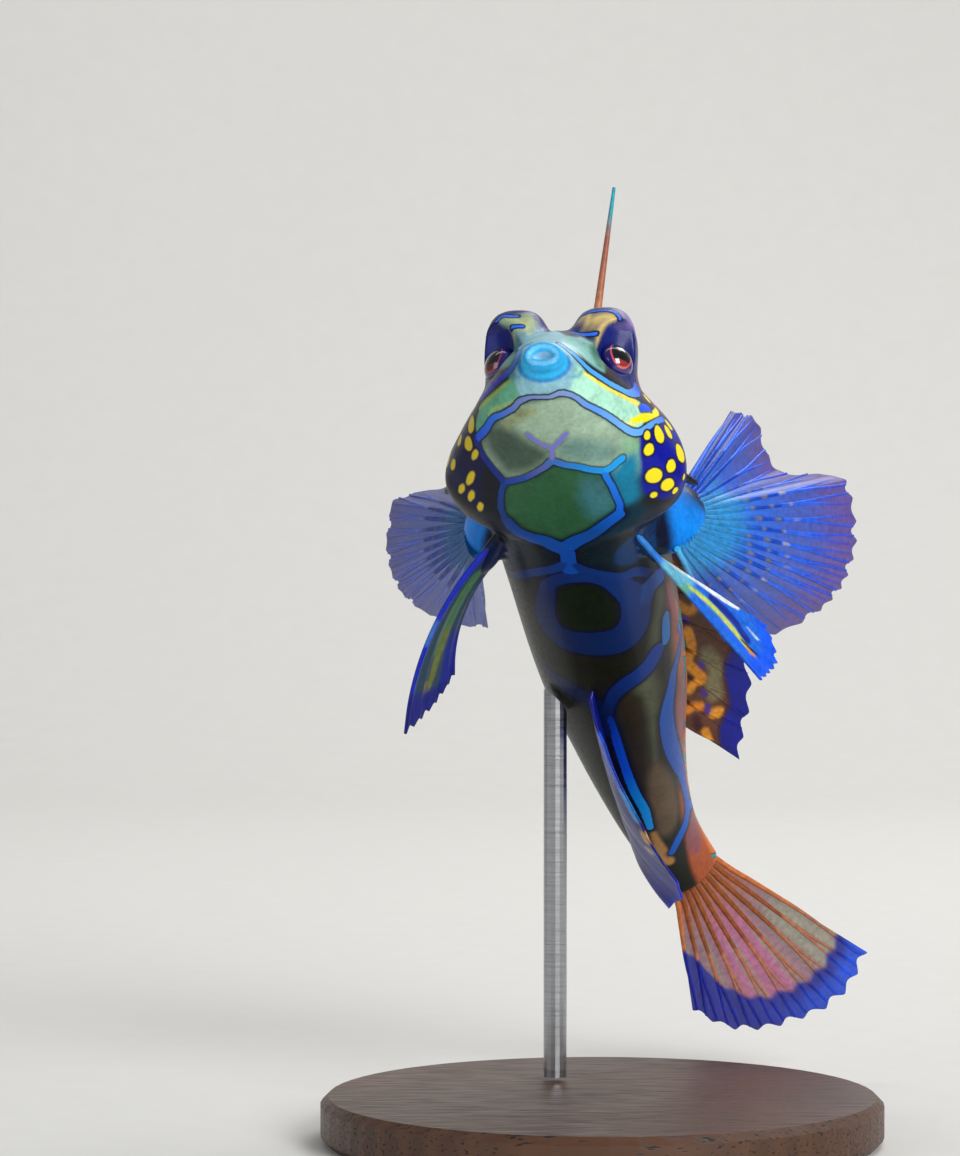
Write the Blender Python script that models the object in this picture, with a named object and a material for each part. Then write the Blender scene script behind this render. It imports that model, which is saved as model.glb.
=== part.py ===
"""Mandarinfish, life size, on a plain display stand. All sizes are in millimetres until the meshes are made.

The fish is laid out along its own bent spine. A place on it is (station, across, above): the distance back from the
mouth along the spine, the distance towards the fish's left, and the height above the spine. The fish faces -Y and
rises towards its mouth, so that its throat and belly face the same way as its face.
"""

import math

import bmesh
import bpy
import numpy as np
from mathutils import Vector
from mathutils.bvhtree import BVHTree

MM = 0.001
GAP = 0.3  # kept between touching pieces

# Driving sizes of an adult male
BODY_LENGTH = 52.0  # mouth to the root of the tail fin
HEAD_END = 13.6  # station of the cut between head and trunk
TRUNK_END = 38.5  # station of the cut between trunk and tail stem
HEAD_FRONT = 0.5  # station of the face that the lips sit on
MOUTH_PLACE = (-4.0, -15.5, 49.9)  # the middle of the mouth above the stand
SPINE_REACH = 72.0  # the spine's line runs on into the tail fin

# How the spine lies: station, degrees nose-up, degrees turned to the fish's right, degrees rolled to its left
SPINE = (
    (0.0, 35.0, 10.0, -2.0),
    (12.0, 35.5, 10.0, -2.5),
    (18.0, 42.0, 13.5, -3.0),
    (24.0, 44.0, 14.0, 0.0),
    (30.0, 45.0, 14.2, 5.0),
    (36.0, 46.0, 15.0, 6.0),
    (41.0, 46.0, 19.0, 4.0),
    (47.0, 46.5, 29.0, 5.0),
    (52.0, 48.5, 47.0, 14.0),
    (58.0, 49.5, 50.0, 24.0),
    (64.0, 50.0, 50.0, 27.0),
    (SPINE_REACH, 50.0, 51.0, 28.0),
)

# Cross-sections: station, half width, top, bottom, level of the widest place, squareness above and below it
SECTIONS = (
    (0.5, 1.35, 1.25, -1.10, 0.0, 2.0, 2.0),
    (1.0, 1.95, 1.95, -1.50, 0.0, 2.0, 2.0),
    (2.0, 2.80, 3.00, -2.00, 0.1, 1.9, 2.1),
    (3.5, 3.80, 4.45, -2.55, 0.2, 1.6, 2.2),
    (5.0, 4.65, 5.60, -3.05, 0.2, 1.5, 2.3),
    (6.5, 5.45, 6.20, -3.45, 0.0, 1.5, 2.3),
    (8.0, 6.25, 6.40, -3.85, -0.3, 1.6, 2.3),
    (9.5, 7.00, 6.45, -4.20, -0.6, 1.7, 2.3),
    (11.0, 7.55, 6.45, -4.45, -0.8, 1.8, 2.3),
    (12.4, 7.30, 6.40, -4.60, -0.8, 1.8, 2.2),
    (13.6, 6.30, 6.35, -4.70, -0.6, 1.9, 2.1),
    (15.5, 5.55, 6.20, -4.80, -0.3, 2.0, 2.2),
    (20.0, 5.25, 6.00, -4.90, -0.1, 2.0, 2.3),
    (26.0, 5.05, 5.50, -4.70, 0.0, 2.0, 2.3),
    (32.0, 4.70, 4.85, -4.25, 0.0, 2.0, 2.2),
    (38.0, 3.75, 4.00, -3.60, 0.0, 2.0, 2.1),
    (44.0, 2.75, 3.15, -3.00, 0.0, 2.0, 2.0),
    (49.0, 1.95, 2.60, -2.35, 0.0, 2.0, 2.0),
    (BODY_LENGTH, 1.50, 2.45, -1.95, 0.0, 2.0, 2.0),
)


def read(table, column, at):
    """A table's column between its stations, along a smooth curve that makes no highs or lows of its own."""
    x = np.array([row[0] for row in table])
    y = np.array([row[column] for row in table])
    step = np.diff(x)
    slope = np.diff(y) / step
    tangent = np.zeros_like(y)
    same = slope[:-1] * slope[1:] > 0
    before, after = slope[:-1][same], slope[1:][same]
    tangent[1:-1][same] = 2 * before * after / (before + after)
    tangent[0], tangent[-1] = slope[0], slope[-1]
    at = np.clip(np.asarray(at, float), x[0], x[-1])
    i = np.clip(np.searchsorted(x, at, side="right") - 1, 0, len(x) - 2)
    t = (at - x[i]) / step[i]
    ends = (1 + 2 * t) * (1 - t) ** 2 * y[i] + t * t * (3 - 2 * t) * y[i + 1]
    return ends + step[i] * (t * (1 - t) ** 2 * tangent[i] - t * t * (1 - t) * tangent[i + 1])


def spine_frame(station):
    """Unit vectors towards the tail, the fish's left and its back, at these stations."""
    pitch, turn, roll = (np.radians(read(SPINE, column, station)) for column in (1, 2, 3))
    flat = np.zeros_like(pitch)
    back = np.stack([np.sin(turn) * np.cos(pitch), np.cos(turn) * np.cos(pitch), -np.sin(pitch)], -1)
    left = np.stack([np.cos(turn), -np.sin(turn), flat], -1)
    up = np.stack([np.sin(turn) * np.sin(pitch), np.cos(turn) * np.sin(pitch), np.cos(pitch)], -1)
    c, s = np.cos(roll)[..., None], np.sin(roll)[..., None]
    return back, c * left - s * up, c * up + s * left


SPINE_STEP = 0.1
SPINE_STATIONS = np.arange(-3.0, SPINE_REACH + SPINE_STEP / 2, SPINE_STEP)


def spine_line():
    """The spine's own points, summed up from its directions, with station 0 at the mouth."""
    back = spine_frame(SPINE_STATIONS)[0]
    steps = (back[1:] + back[:-1]) / 2 * SPINE_STEP
    line = np.concatenate([[np.zeros(3)], np.cumsum(steps, axis=0)])
    at_mouth = np.argmin(np.abs(SPINE_STATIONS))
    return line - line[at_mouth] + np.array(MOUTH_PLACE)


SPINE_LINE = spine_line()


def place(station, across, above):
    """Points in space of places on the fish."""
    station, across, above = np.broadcast_arrays(*(np.asarray(v, float) for v in (station, across, above)))
    centre = np.stack([np.interp(station, SPINE_STATIONS, SPINE_LINE[:, k]) for k in range(3)], -1)
    _, left, up = spine_frame(station)
    return centre + across[..., None] * left + above[..., None] * up


def skin(station, angle, swell=0.0):
    """Points of the skin: angle 0 is the back, and a quarter turn the fish's left side."""
    width, top, bottom, level, square_up, square_down = (read(SECTIONS, k, station) for k in range(1, 7))
    rise, out = np.cos(angle), np.sin(angle)
    square = np.where(rise > 0, square_up, square_down)
    reach = np.where(rise > 0, top - level, level - bottom) + swell
    across = (width + swell) * np.sign(out) * np.abs(out) ** (2 / square)
    above = level + reach * np.sign(rise) * np.abs(rise) ** (2 / square)
    return place(station, across, above)


def unit(vector):
    return np.asarray(vector, float) / np.linalg.norm(vector)


def material(name, colour, roughness, metallic=0.0):
    made = bpy.data.materials.new(name)
    made.use_nodes = True
    shader = made.node_tree.nodes["Principled BSDF"]
    shader.inputs["Base Color"].default_value = (*colour, 1.0)
    shader.inputs["Roughness"].default_value = roughness
    shader.inputs["Metallic"].default_value = metallic
    return made


def solid(name, points, faces, finish, smooth_degrees=40.0):
    """An object of these points, in millimetres, and faces."""
    mesh = bpy.data.meshes.new(name)
    mesh.from_pydata([tuple(float(x) * MM for x in p) for p in points], [], faces)
    mesh.validate()
    mesh.shade_smooth()
    mesh.set_sharp_from_angle(angle=math.radians(smooth_degrees))
    mesh.materials.append(finish)
    made = bpy.data.objects.new(name, mesh)
    bpy.context.scene.collection.objects.link(made)
    return made


def tube_faces(rings, sides):
    """Faces of a closed body made of rings of points, with one more point at each end: first all the rings' points,
    then the first end's and the last end's."""
    faces = []
    first_end, last_end = rings * sides, rings * sides + 1
    for j in range(sides):
        k = (j + 1) % sides
        faces.append((first_end, k, j))
        faces.append((last_end, (rings - 1) * sides + j, (rings - 1) * sides + k))
        for i in range(rings - 1):
            a, b = i * sides + j, i * sides + k
            faces.append((a, b, b + sides, a + sides))
    return faces


def body_length(name, start, end, rings, sides, finish):
    """A length of the body between two stations, with flat ends square to the spine."""
    stations = np.linspace(start, end, rings)
    angles = np.arange(sides) / sides * 2 * math.pi
    grid = skin(stations[:, None], angles[None, :])
    ends = np.array([grid[0].mean(0), grid[-1].mean(0)])
    return solid(name, np.concatenate([grid.reshape(-1, 3), ends]), tube_faces(rings, sides), finish)


def ellipsoid(name, centre, axes, radii, finish, rings=10, sides=16):
    """A closed ellipsoid: axes are three unit vectors, with its poles on the first."""
    rows = []
    for i in range(1, rings):
        polar = math.pi * i / rings
        for j in range(sides):
            around = 2 * math.pi * j / sides
            local = (math.cos(polar), math.sin(polar) * math.cos(around), math.sin(polar) * math.sin(around))
            rows.append(sum(r * k * np.array(axis) for r, k, axis in zip(radii, local, axes)) + centre)
    rows += [centre + radii[0] * np.array(axes[0]), centre - radii[0] * np.array(axes[0])]
    made = solid(name, rows, tube_faces(rings - 1, sides), finish)
    tidy(made)
    return made


def tidy(target):
    """Keeps the largest closed surface and makes its faces point outwards."""
    bm = bmesh.new()
    bm.from_mesh(target.data)
    bmesh.ops.remove_doubles(bm, verts=bm.verts, dist=0.004 * MM)
    bmesh.ops.triangulate(bm, faces=bm.faces)
    unvisited, islands = set(bm.faces), []
    while unvisited:
        island, stack = set(), [next(iter(unvisited))]
        while stack:
            face = stack.pop()
            if face in island:
                continue
            island.add(face)
            stack.extend(n for e in face.edges for n in e.link_faces if n not in island)
        unvisited -= island
        islands.append(island)
    largest = max(islands, key=lambda i: sum(f.calc_area() for f in i))
    spare = [f for f in bm.faces if f not in largest]
    bmesh.ops.delete(bm, geom=spare, context="FACES")
    bmesh.ops.recalc_face_normals(bm, faces=bm.faces)
    bm.to_mesh(target.data)
    bm.free()


def combine(target, others, operation):
    """Applies one Boolean of several closed meshes to the target, and removes them."""
    group = bpy.data.collections.new(target.name + "_pieces")
    for other in others:
        group.objects.link(other)
    modifier = target.modifiers.new("pieces", "BOOLEAN")
    modifier.operation = operation
    modifier.operand_type = "COLLECTION"
    modifier.collection = group
    modifier.solver = "EXACT"
    bpy.context.view_layer.update()
    made = bpy.data.meshes.new_from_object(target.evaluated_get(bpy.context.evaluated_depsgraph_get()))
    target.modifiers.clear()
    target.data = made
    for other in others:
        bpy.data.objects.remove(other)
    bpy.data.collections.remove(group)
    tidy(target)
    made.shade_smooth()
    made.set_sharp_from_angle(angle=math.radians(40.0))


def clear_scene():
    for old in list(bpy.data.objects):
        bpy.data.objects.remove(old)


clear_scene()

THROAT_SKIN = material("throat_skin", (0.25, 0.27, 0.13), 0.35)
BACK_SKIN = material("back_skin", (0.45, 0.16, 0.06), 0.35)
CHEEK_SKIN = material("cheek_skin", (0.01, 0.03, 0.45), 0.3)
LIP_SKIN = material("lip_skin", (0.03, 0.45, 0.75), 0.3)
FIN_SKIN = material("fin_skin", (0.01, 0.10, 0.75), 0.35)
TAIL_FIN_SKIN = material("tail_fin_skin", (0.70, 0.25, 0.10), 0.35)
EYE_GLASS = material("eye_glass", (0.02, 0.01, 0.06), 0.08)
STAND_WOOD = material("stand_wood", (0.05, 0.025, 0.015), 0.45)
ROD_STEEL = material("rod_steel", (0.6, 0.6, 0.62), 0.3, 1.0)

# Eyes: each sits in a turret that stands out of the top of the head
EYE_FRONT = (5.2, 4.45, 3.55)  # the outermost point of each eye, on the fish's left
EYE_LOOK = (-0.46, 0.88, 0.10)  # where each eye faces: back, out, up
EYE_RADII = (1.0, 1.2)  # along the eye's line of sight and across it
TURRET_PLACE = (6.6, 2.7, 4.9)
TURRET_RADII = (2.4, 2.05, 2.8)
TURRET_SQUARENESS = 2.8
TURRET_BLEND = 1.0
HEAD_SIDES = 56
HEAD_RINGS = 30


def soft_min(a, b, blend):
    mix = np.clip(0.5 + (b - a) / (2 * blend), 0, 1)
    return b + (a - b) * mix - blend * mix * (1 - mix)


def head_skin(station, angle):
    """The skin with the eye turrets: along each line out from the middle of a cross-section, the last place inside
    either the plain skin or a turret."""
    width, top, bottom, level, square_up, square_down = (read(SECTIONS, k, station) for k in range(1, 7))
    rise, out = np.cos(angle), np.sin(angle)
    square = np.where(rise > 0, square_up, square_down)
    reach = np.where(rise > 0, top - level, level - bottom)
    across = width * np.sign(out) * np.abs(out) ** (2 / square)
    above = reach * np.sign(rise) * np.abs(rise) ** (2 / square)
    plain = np.hypot(across, above)
    out, rise = across / plain, above / plain
    furthest = plain.copy()
    for extra in np.linspace(0.0, 4.5, 91):
        distance = plain + extra
        body = distance - plain
        gap = np.full_like(body, 9.0)
        for side in (1, -1):
            shift = [
                (station - TURRET_PLACE[0]) / TURRET_RADII[0],
                (out * distance - side * TURRET_PLACE[1]) / TURRET_RADII[1],
                (level + rise * distance - TURRET_PLACE[2]) / TURRET_RADII[2],
            ]
            size = sum(np.abs(v) ** TURRET_SQUARENESS for v in shift) ** (1 / TURRET_SQUARENESS)
            gap = np.minimum(gap, (size - 1) * min(TURRET_RADII))
        furthest = np.where(soft_min(body, gap, TURRET_BLEND) <= 0, distance, furthest)
    return place(station, out * furthest, level + rise * furthest)


# The hooked spine at the rear of each cheek, and the two short nostril tubes before each eye
CHEEK_SPINE_PLACE = (12.0, 7.0, -0.7)
CHEEK_SPINE_AIM = (0.80, 0.50, 0.20)  # back, out, up in the fish's own directions
CHEEK_SPINE_LENGTH = 1.9
CHEEK_SPINE_RADIUS = 0.5
CHEEK_BARBS = ((0.45, 0.75), (0.75, 0.6))  # place along the spine and length of each barb on its upper edge
NOSTRILS = ((3.55, 1.75, 2.95, 0.27), (2.75, 1.75, 2.3, 0.24))  # station, across, above, radius
NOSTRIL_RISE = 0.3
NOSTRIL_BORE = 0.13


def own_direction(station, side, aim):
    """A direction given as back, out and up on one side of the fish, turned into the world's."""
    back, left, up = spine_frame(np.array(station))
    return unit(aim[0] * back + aim[1] * side * left + aim[2] * up)


def cone(name, start, end, start_radius, end_radius, sides, finish):
    """A closed cone between two points, with flat ends."""
    along = unit(np.array(end) - np.array(start))
    first = unit(np.cross(along, (0.31, 0.87, 0.38)))
    second = np.cross(along, first)
    rows = []
    for centre, radius in ((start, start_radius), (end, end_radius)):
        for j in range(sides):
            around = 2 * math.pi * j / sides
            rows.append(np.array(centre) + radius * (math.cos(around) * first + math.sin(around) * second))
    rows += [np.array(start), np.array(end)]
    made = solid(name, rows, tube_faces(2, sides), finish)
    tidy(made)
    return made


def cheek_spine(side):
    """A tapered spine with two barbs, as closed pieces to be joined to the head."""
    start = place(CHEEK_SPINE_PLACE[0], side * CHEEK_SPINE_PLACE[1], CHEEK_SPINE_PLACE[2])
    aim = own_direction(CHEEK_SPINE_PLACE[0], side, CHEEK_SPINE_AIM)
    up = spine_frame(np.array(CHEEK_SPINE_PLACE[0]))[2]
    end = start + aim * CHEEK_SPINE_LENGTH
    pieces = [cone("spine", start - aim * 0.8, end, CHEEK_SPINE_RADIUS, 0.12, 8, THROAT_SKIN)]
    for share, length in CHEEK_BARBS:
        foot = start + aim * CHEEK_SPINE_LENGTH * share
        radius = CHEEK_SPINE_RADIUS * 0.5 * (1 - share * 0.6)
        pieces.append(cone("barb", foot, foot + unit(up + 0.45 * aim) * length, radius, 0.08, 6, THROAT_SKIN))
    return pieces


def nostril(side, station, across, above, radius):
    """A short tube and the bore to cut from it."""
    foot = place(station, side * across, above)
    aim = own_direction(station, side, (-0.55, 0.35, 0.76))
    start = foot - aim * 0.5
    tube = cone("nostril", start, foot + aim * NOSTRIL_RISE, radius * 1.25, radius, 10, THROAT_SKIN)
    bore = cone("bore", foot - aim * 0.1, foot + aim * 0.8, NOSTRIL_BORE, NOSTRIL_BORE, 6, THROAT_SKIN)
    return tube, bore


def eye(name, side, swell=0.0):
    """A flattened ball, or with a swell the socket round it."""
    front = place(EYE_FRONT[0], side * EYE_FRONT[1], EYE_FRONT[2])
    look = own_direction(EYE_FRONT[0], side, EYE_LOOK)
    second = unit(np.cross(look, (0, 0, 1)))
    third = np.cross(look, second)
    deep, wide = (radius + swell for radius in EYE_RADII)
    return ellipsoid(name, front - look * EYE_RADII[0], (look, second, third), (deep, wide, wide), EYE_GLASS, 11, 20)


def head_piece():
    stations = HEAD_FRONT + (HEAD_END - GAP / 2 - HEAD_FRONT) * np.linspace(0, 1, HEAD_RINGS)
    angles = np.arange(HEAD_SIDES) / HEAD_SIDES * 2 * math.pi
    rows, columns = np.meshgrid(stations, angles, indexing="ij")
    grid = head_skin(rows, columns)
    ends = np.array([grid[0].mean(0), grid[-1].mean(0)])
    made = solid("head", np.concatenate([grid.reshape(-1, 3), ends]), tube_faces(HEAD_RINGS, HEAD_SIDES), THROAT_SKIN)
    added, cut = [], []
    for side in (1, -1):
        cut.append(eye("socket", side, GAP))
        added += cheek_spine(side)
        for row in NOSTRILS:
            tube, bore = nostril(side, *row)
            added.append(tube)
            cut.append(bore)
    combine(made, added, "UNION")
    combine(made, cut, "DIFFERENCE")


head_piece()
eye("eye_left", 1)
eye("eye_right", -1)

# Lips: a short oval muzzle with the mouth's opening pressed into its front. Station, half width, half height.
LIP_RINGS = (
    (HEAD_FRONT - GAP, 1.26, 0.98),
    (-0.05, 1.38, 1.04),
    (-0.25, 1.30, 0.94),
    (-0.40, 1.08, 0.70),
    (-0.38, 0.86, 0.44),
    (-0.10, 0.68, 0.28),
)
LIP_SIDES = 28
CORNER_SET_BACK = 0.25  # how far the corners of the mouth lie behind its middle


def lips():
    rows = []
    for station, half_width, half_height in LIP_RINGS:
        for j in range(LIP_SIDES):
            around = 2 * math.pi * j / LIP_SIDES
            across = half_width * math.sin(around)
            back = CORNER_SET_BACK * (across / LIP_RINGS[1][1]) ** 2 if station < LIP_RINGS[0][0] else 0.0
            rows.append(place(station + back, across, half_height * math.cos(around)))
    grid = np.array(rows)
    ends = [grid[:LIP_SIDES].mean(0), grid[-LIP_SIDES:].mean(0)]
    made = solid("lips", np.concatenate([grid, ends]), tube_faces(len(LIP_RINGS), LIP_SIDES), LIP_SKIN)
    tidy(made)


lips()
body_length("trunk", HEAD_END + GAP / 2, TRUNK_END - GAP / 2, 17, 40, BACK_SKIN)
body_length("tail_stem", TRUNK_END + GAP / 2, BODY_LENGTH, 11, 28, BACK_SKIN)


def shell_tree():
    """The body's surface, swollen by the gap, for rooting fins and the rod on it."""
    rings, sides = 60, 60
    stations = np.linspace(HEAD_FRONT, BODY_LENGTH + GAP, rings)
    angles = np.arange(sides) / sides * 2 * math.pi
    grid = skin(stations[:, None], angles[None, :], GAP)
    ends = np.array([grid[0].mean(0), grid[-1].mean(0)])
    points = np.concatenate([grid.reshape(-1, 3), ends])
    return BVHTree.FromPolygons([Vector(p) for p in points], tube_faces(rings, sides))


SHELL = shell_tree()


def rooted(outside, inside, trees):
    """Where the line from outside to inside first meets one of the swollen surfaces."""
    start, along = Vector(outside), Vector(inside) - Vector(outside)
    nearest = along.length
    for tree in trees:
        found = tree.ray_cast(start, along.normalized())
        if found[0] is not None:
            nearest = min(nearest, found[3])
    return np.array(start + along.normalized() * nearest)


# Fins
MEMBRANE = 0.5
RAY_ROOT = 0.95
RAY_TIP = 0.55
MARGIN_NOTCH = 0.05  # how much shorter the membrane is than the rays on each side of it


def fin(name, rays, finish, trees, notch=MARGIN_NOTCH):
    """A fin: rays is a list of rows of points, each from inside the body to the ray's tip. The membrane between them
    is thinner than the rays, which stand up as ridges on both faces."""
    columns = []
    for i, ray in enumerate(rays):
        columns.append(ray)
        if i + 1 < len(rays):
            middle = (ray + rays[i + 1]) / 2
            reach = np.linspace(0, 1, len(ray))[:, None] ** 2
            columns.append(middle + (middle[0] - middle) * notch * reach)
    grid = np.array(columns)
    across = np.gradient(grid, axis=0)
    along = np.gradient(grid, axis=1)
    normal = np.cross(across, along)
    normal /= np.linalg.norm(normal, axis=2)[..., None]
    count, length = grid.shape[:2]
    thickness = np.full((count, length), MEMBRANE)
    thickness[::2] = np.linspace(RAY_ROOT, RAY_TIP, length)
    half = thickness[..., None] / 2
    faces_of = [grid + normal * half, grid - normal * half]
    for side in faces_of if trees else []:
        for i in range(count):
            side[i, 0] = rooted(side[i, 1], side[i, 0], trees)
    points = np.concatenate([side.reshape(-1, 3) for side in faces_of])
    far = count * length
    faces = []
    for i in range(count - 1):
        for j in range(length - 1):
            a, b = i * length + j, (i + 1) * length + j
            faces += [(a, b, b + 1), (a, b + 1, a + 1)]
            faces += [(a + far, b + 1 + far, b + far), (a + far, a + 1 + far, b + 1 + far)]
    for i in range(count - 1):
        for j, turned in ((0, False), (length - 1, True)):
            a, b = i * length + j, (i + 1) * length + j
            edge = [(a, a + far, b + far), (a, b + far, b)]
            faces += [f[::-1] for f in edge] if turned else edge
    for j in range(length - 1):
        for i, turned in ((0, True), (count - 1, False)):
            a, b = i * length + j, i * length + j + 1
            edge = [(a, a + far, b + far), (a, b + far, b)]
            faces += [f[::-1] for f in edge] if turned else edge
    made = solid(name, points, faces, finish, smooth_degrees=60.0)
    tidy(made)
    return made


ROOT_DEPTH = 1.2  # how far inside the skin a ray's line begins


def median_ray(station, side, length, rake, lean, bend, points, across=0.0, fold=0.0):
    """A ray on the back (side 1) or belly (side -1). rake is its angle from the body's line, lean its tilt to the
    fish's left, both in degrees, bend and fold how far its tip is drawn back and to the left, as shares of its length,
    and across how far to the left of the middle its root lies."""
    back, left, up = (v for v in spine_frame(np.array(station)))
    edge = read(SECTIONS, 2 if side > 0 else 3, station)
    root = place(station, across, edge)
    rake, lean = math.radians(rake), math.radians(lean)
    aim = math.cos(rake) * back + math.sin(rake) * (math.cos(lean) * side * up + math.sin(lean) * left)
    inner = root - side * up * ROOT_DEPTH
    share = np.linspace(0, 1, points)[1:, None]
    outer = root + length * (aim * share + (back * bend + left * fold) * share**2)
    return np.concatenate([[inner], outer])


def median_fin(name, table, side, finish, points, notch=MARGIN_NOTCH):
    """table holds for each ray: station, length, rake, lean, bend and, for a folded fin, across and fold."""
    rays = [median_ray(row[0], side, *row[1:5], points, *row[5:]) for row in table]
    return fin(name, rays, finish, [SHELL], notch)


def spread(low, high, count, power=1.0):
    return [low + (high - low) * (i / (count - 1)) ** power for i in range(count)]


# First dorsal fin: a low membrane on four spines, the first of them drawn out far above it
FIRST_DORSAL = (
    (15.5, 8.0, 112.0, 7.0, 0.02),
    (16.6, 6.8, 94.0, 7.0, 0.05),
    (17.7, 5.4, 72.0, 7.0, 0.08),
    (18.8, 4.0, 52.0, 7.0, 0.10),
)
LONG_SPINE_LENGTH = 16.4
LONG_SPINE_RADII = (0.36, 0.2)


def first_dorsal_fin():
    made = median_fin("first_dorsal_fin", FIRST_DORSAL, 1, FIN_SKIN, 7, notch=0.16)
    station, length, rake, lean, bend = FIRST_DORSAL[0]
    line = median_ray(station, 1, LONG_SPINE_LENGTH, rake, lean, bend, 7)
    foot = line[1]
    spine = [cone("spine", foot, line[-1], *LONG_SPINE_RADII, 8, FIN_SKIN)]
    combine(made, spine, "UNION")


first_dorsal_fin()

SECOND_DORSAL_RAYS = 8
SECOND_DORSAL_LENGTHS = ((0.0, 8.6), (0.55, 10.4), (1.0, 8.6))
second_dorsal = list(
    zip(
        spread(23.5, 39.0, SECOND_DORSAL_RAYS),
        [float(read(SECOND_DORSAL_LENGTHS, 1, share)) for share in spread(0.0, 1.0, SECOND_DORSAL_RAYS)],
        spread(48.0, 36.0, SECOND_DORSAL_RAYS),
        spread(62.0, 66.0, SECOND_DORSAL_RAYS),
        spread(0.04, 0.06, SECOND_DORSAL_RAYS),
    )
)
median_fin("second_dorsal_fin", second_dorsal, 1, TAIL_FIN_SKIN, 7)

# Anal fin: seven rays along the rear of the belly, folded over to the fish's left so that its face is seen from below
ANAL_FIN = (
    (28.5, 3.6, 30.0, -10.0, 0.03, 0.0, 0.3),
    (31.2, 4.6, 30.0, -12.0, 0.03, 0.0, 0.42),
    (33.8, 5.8, 29.0, -14.0, 0.02, 0.0, 0.55),
    (36.5, 6.6, 28.0, -14.0, 0.02, 0.0, 0.62),
    (39.2, 6.6, 27.0, -14.0, 0.02, -0.1, 0.7),
    (41.6, 6.4, 26.0, -14.0, 0.0, -0.1, 0.68),
    (43.8, 5.9, 25.0, -14.0, 0.0, -0.1, 0.48),
)
median_fin("anal_fin", ANAL_FIN, -1, FIN_SKIN, 7)

# Tail fin: ten rays that fan out from the end of the tail stem
TAIL_RAYS = 10
TAIL_FAN = 44.0  # degrees between the outermost rays
TAIL_LENGTHS = ((-1.0, 9.7), (-0.5, 12.9), (0.0, 14.6), (0.5, 15.6), (1.0, 14.6))
TAIL_ROOT_MIDDLE = 0.25
TAIL_ROOT_HALF = 1.65


def tail_ray(share, points):
    """A ray of the tail fin: share runs from -1, the lowest, to 1, the highest. It follows the spine's line on."""
    angle = math.radians(TAIL_FAN / 2) * share
    along = np.linspace(0, 1, points)[1:] * float(read(TAIL_LENGTHS, 1, share))
    height = TAIL_ROOT_MIDDLE + TAIL_ROOT_HALF * share
    rows = place(BODY_LENGTH + along * math.cos(angle), 0.0, height + along * math.sin(angle))
    inner = place(BODY_LENGTH - ROOT_DEPTH, 0.0, height * 0.9)
    return np.concatenate([[inner], rows])


fin("tail_fin", [tail_ray(v, 9) for v in spread(-1, 1, TAIL_RAYS)], TAIL_FIN_SKIN, [SHELL], notch=0.035)


def fan(count, roots, aims, lengths, points, curl, depth=ROOT_DEPTH):
    """Rays spread between the roots and aims, each given as rows of share, x, y, z. curl bends each ray's outer end,
    as a vector for a whole length, and depth is how far under its root each ray's line begins."""
    rays = []
    for share in np.linspace(0, 1, count):
        root = np.array([float(read(roots, k, share)) for k in (1, 2, 3)])
        aim = unit([float(read(aims, k, share)) for k in (1, 2, 3)])
        length = float(read(lengths, 1, share))
        along = np.linspace(0, 1, points)[1:, None]
        outer = root + aim * length * along + np.array(curl) * length * along**2
        rays.append(np.concatenate([[root - aim * depth], outer]))
    return rays


def mirrored(aim, station):
    """An aim of the fish's left side turned into that of its right side."""
    left = spine_frame(np.array(station))[1]
    return np.array(aim) - 2 * np.dot(aim, left) * left


def aims_for(side, table, station):
    """Rows of share and aim, for this side of the fish."""
    if side > 0:
        return table
    return [(row[0], *mirrored(row[1:], station)) for row in table]


# Pelvic fins: a fan held out and down from the throat. Aims are directions (right, back, up).
PELVIC_STATIONS = (14.2, 16.4)
PELVIC_ACROSS = {1: (4.2, 4.5), -1: (4.8, 5.0)}
PELVIC_ABOVE = {1: (-3.5, -3.3), -1: (-3.8, -3.6)}
PELVIC_AIMS = {
    1: ((0.0, 0.589, 0.428, -0.685), (0.5, 0.640, 0.490, -0.590), (1.0, 0.706, 0.553, -0.444)),
    -1: ((0.0, -0.640, 0.300, -0.700), (0.5, -0.590, 0.440, -0.690), (1.0, -0.540, 0.550, -0.650)),
}
PELVIC_LENGTHS = {
    1: ((0.0, 13.9), (0.5, 13.9), (1.0, 11.4)),
    -1: ((0.0, 15.4), (0.5, 13.0), (1.0, 10.2)),
}
PELVIC_CURL = {1: (0.0, 0.05, 0.0), -1: (0.28, 0.05, -0.10)}
PELVIC_RAYS = 8


def side_roots(stations, across, above, side):
    """Roots on the skin from front to rear, as rows of share and point."""
    ends = [place(s, side * a, h) for s, a, h in zip(stations, across, above)]
    shares = np.linspace(0, 1, len(ends))
    return [(share, *end) for share, end in zip(shares, ends)]


def pelvic_fin(name, side):
    roots = side_roots(PELVIC_STATIONS, PELVIC_ACROSS[side], PELVIC_ABOVE[side], side)
    rays = fan(PELVIC_RAYS, roots, PELVIC_AIMS[side], PELVIC_LENGTHS[side], 8, PELVIC_CURL[side])
    fin(name, rays, FIN_SKIN, [SHELL])


pelvic_fin("pelvic_fin_left", 1)
pelvic_fin("pelvic_fin_right", -1)

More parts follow.
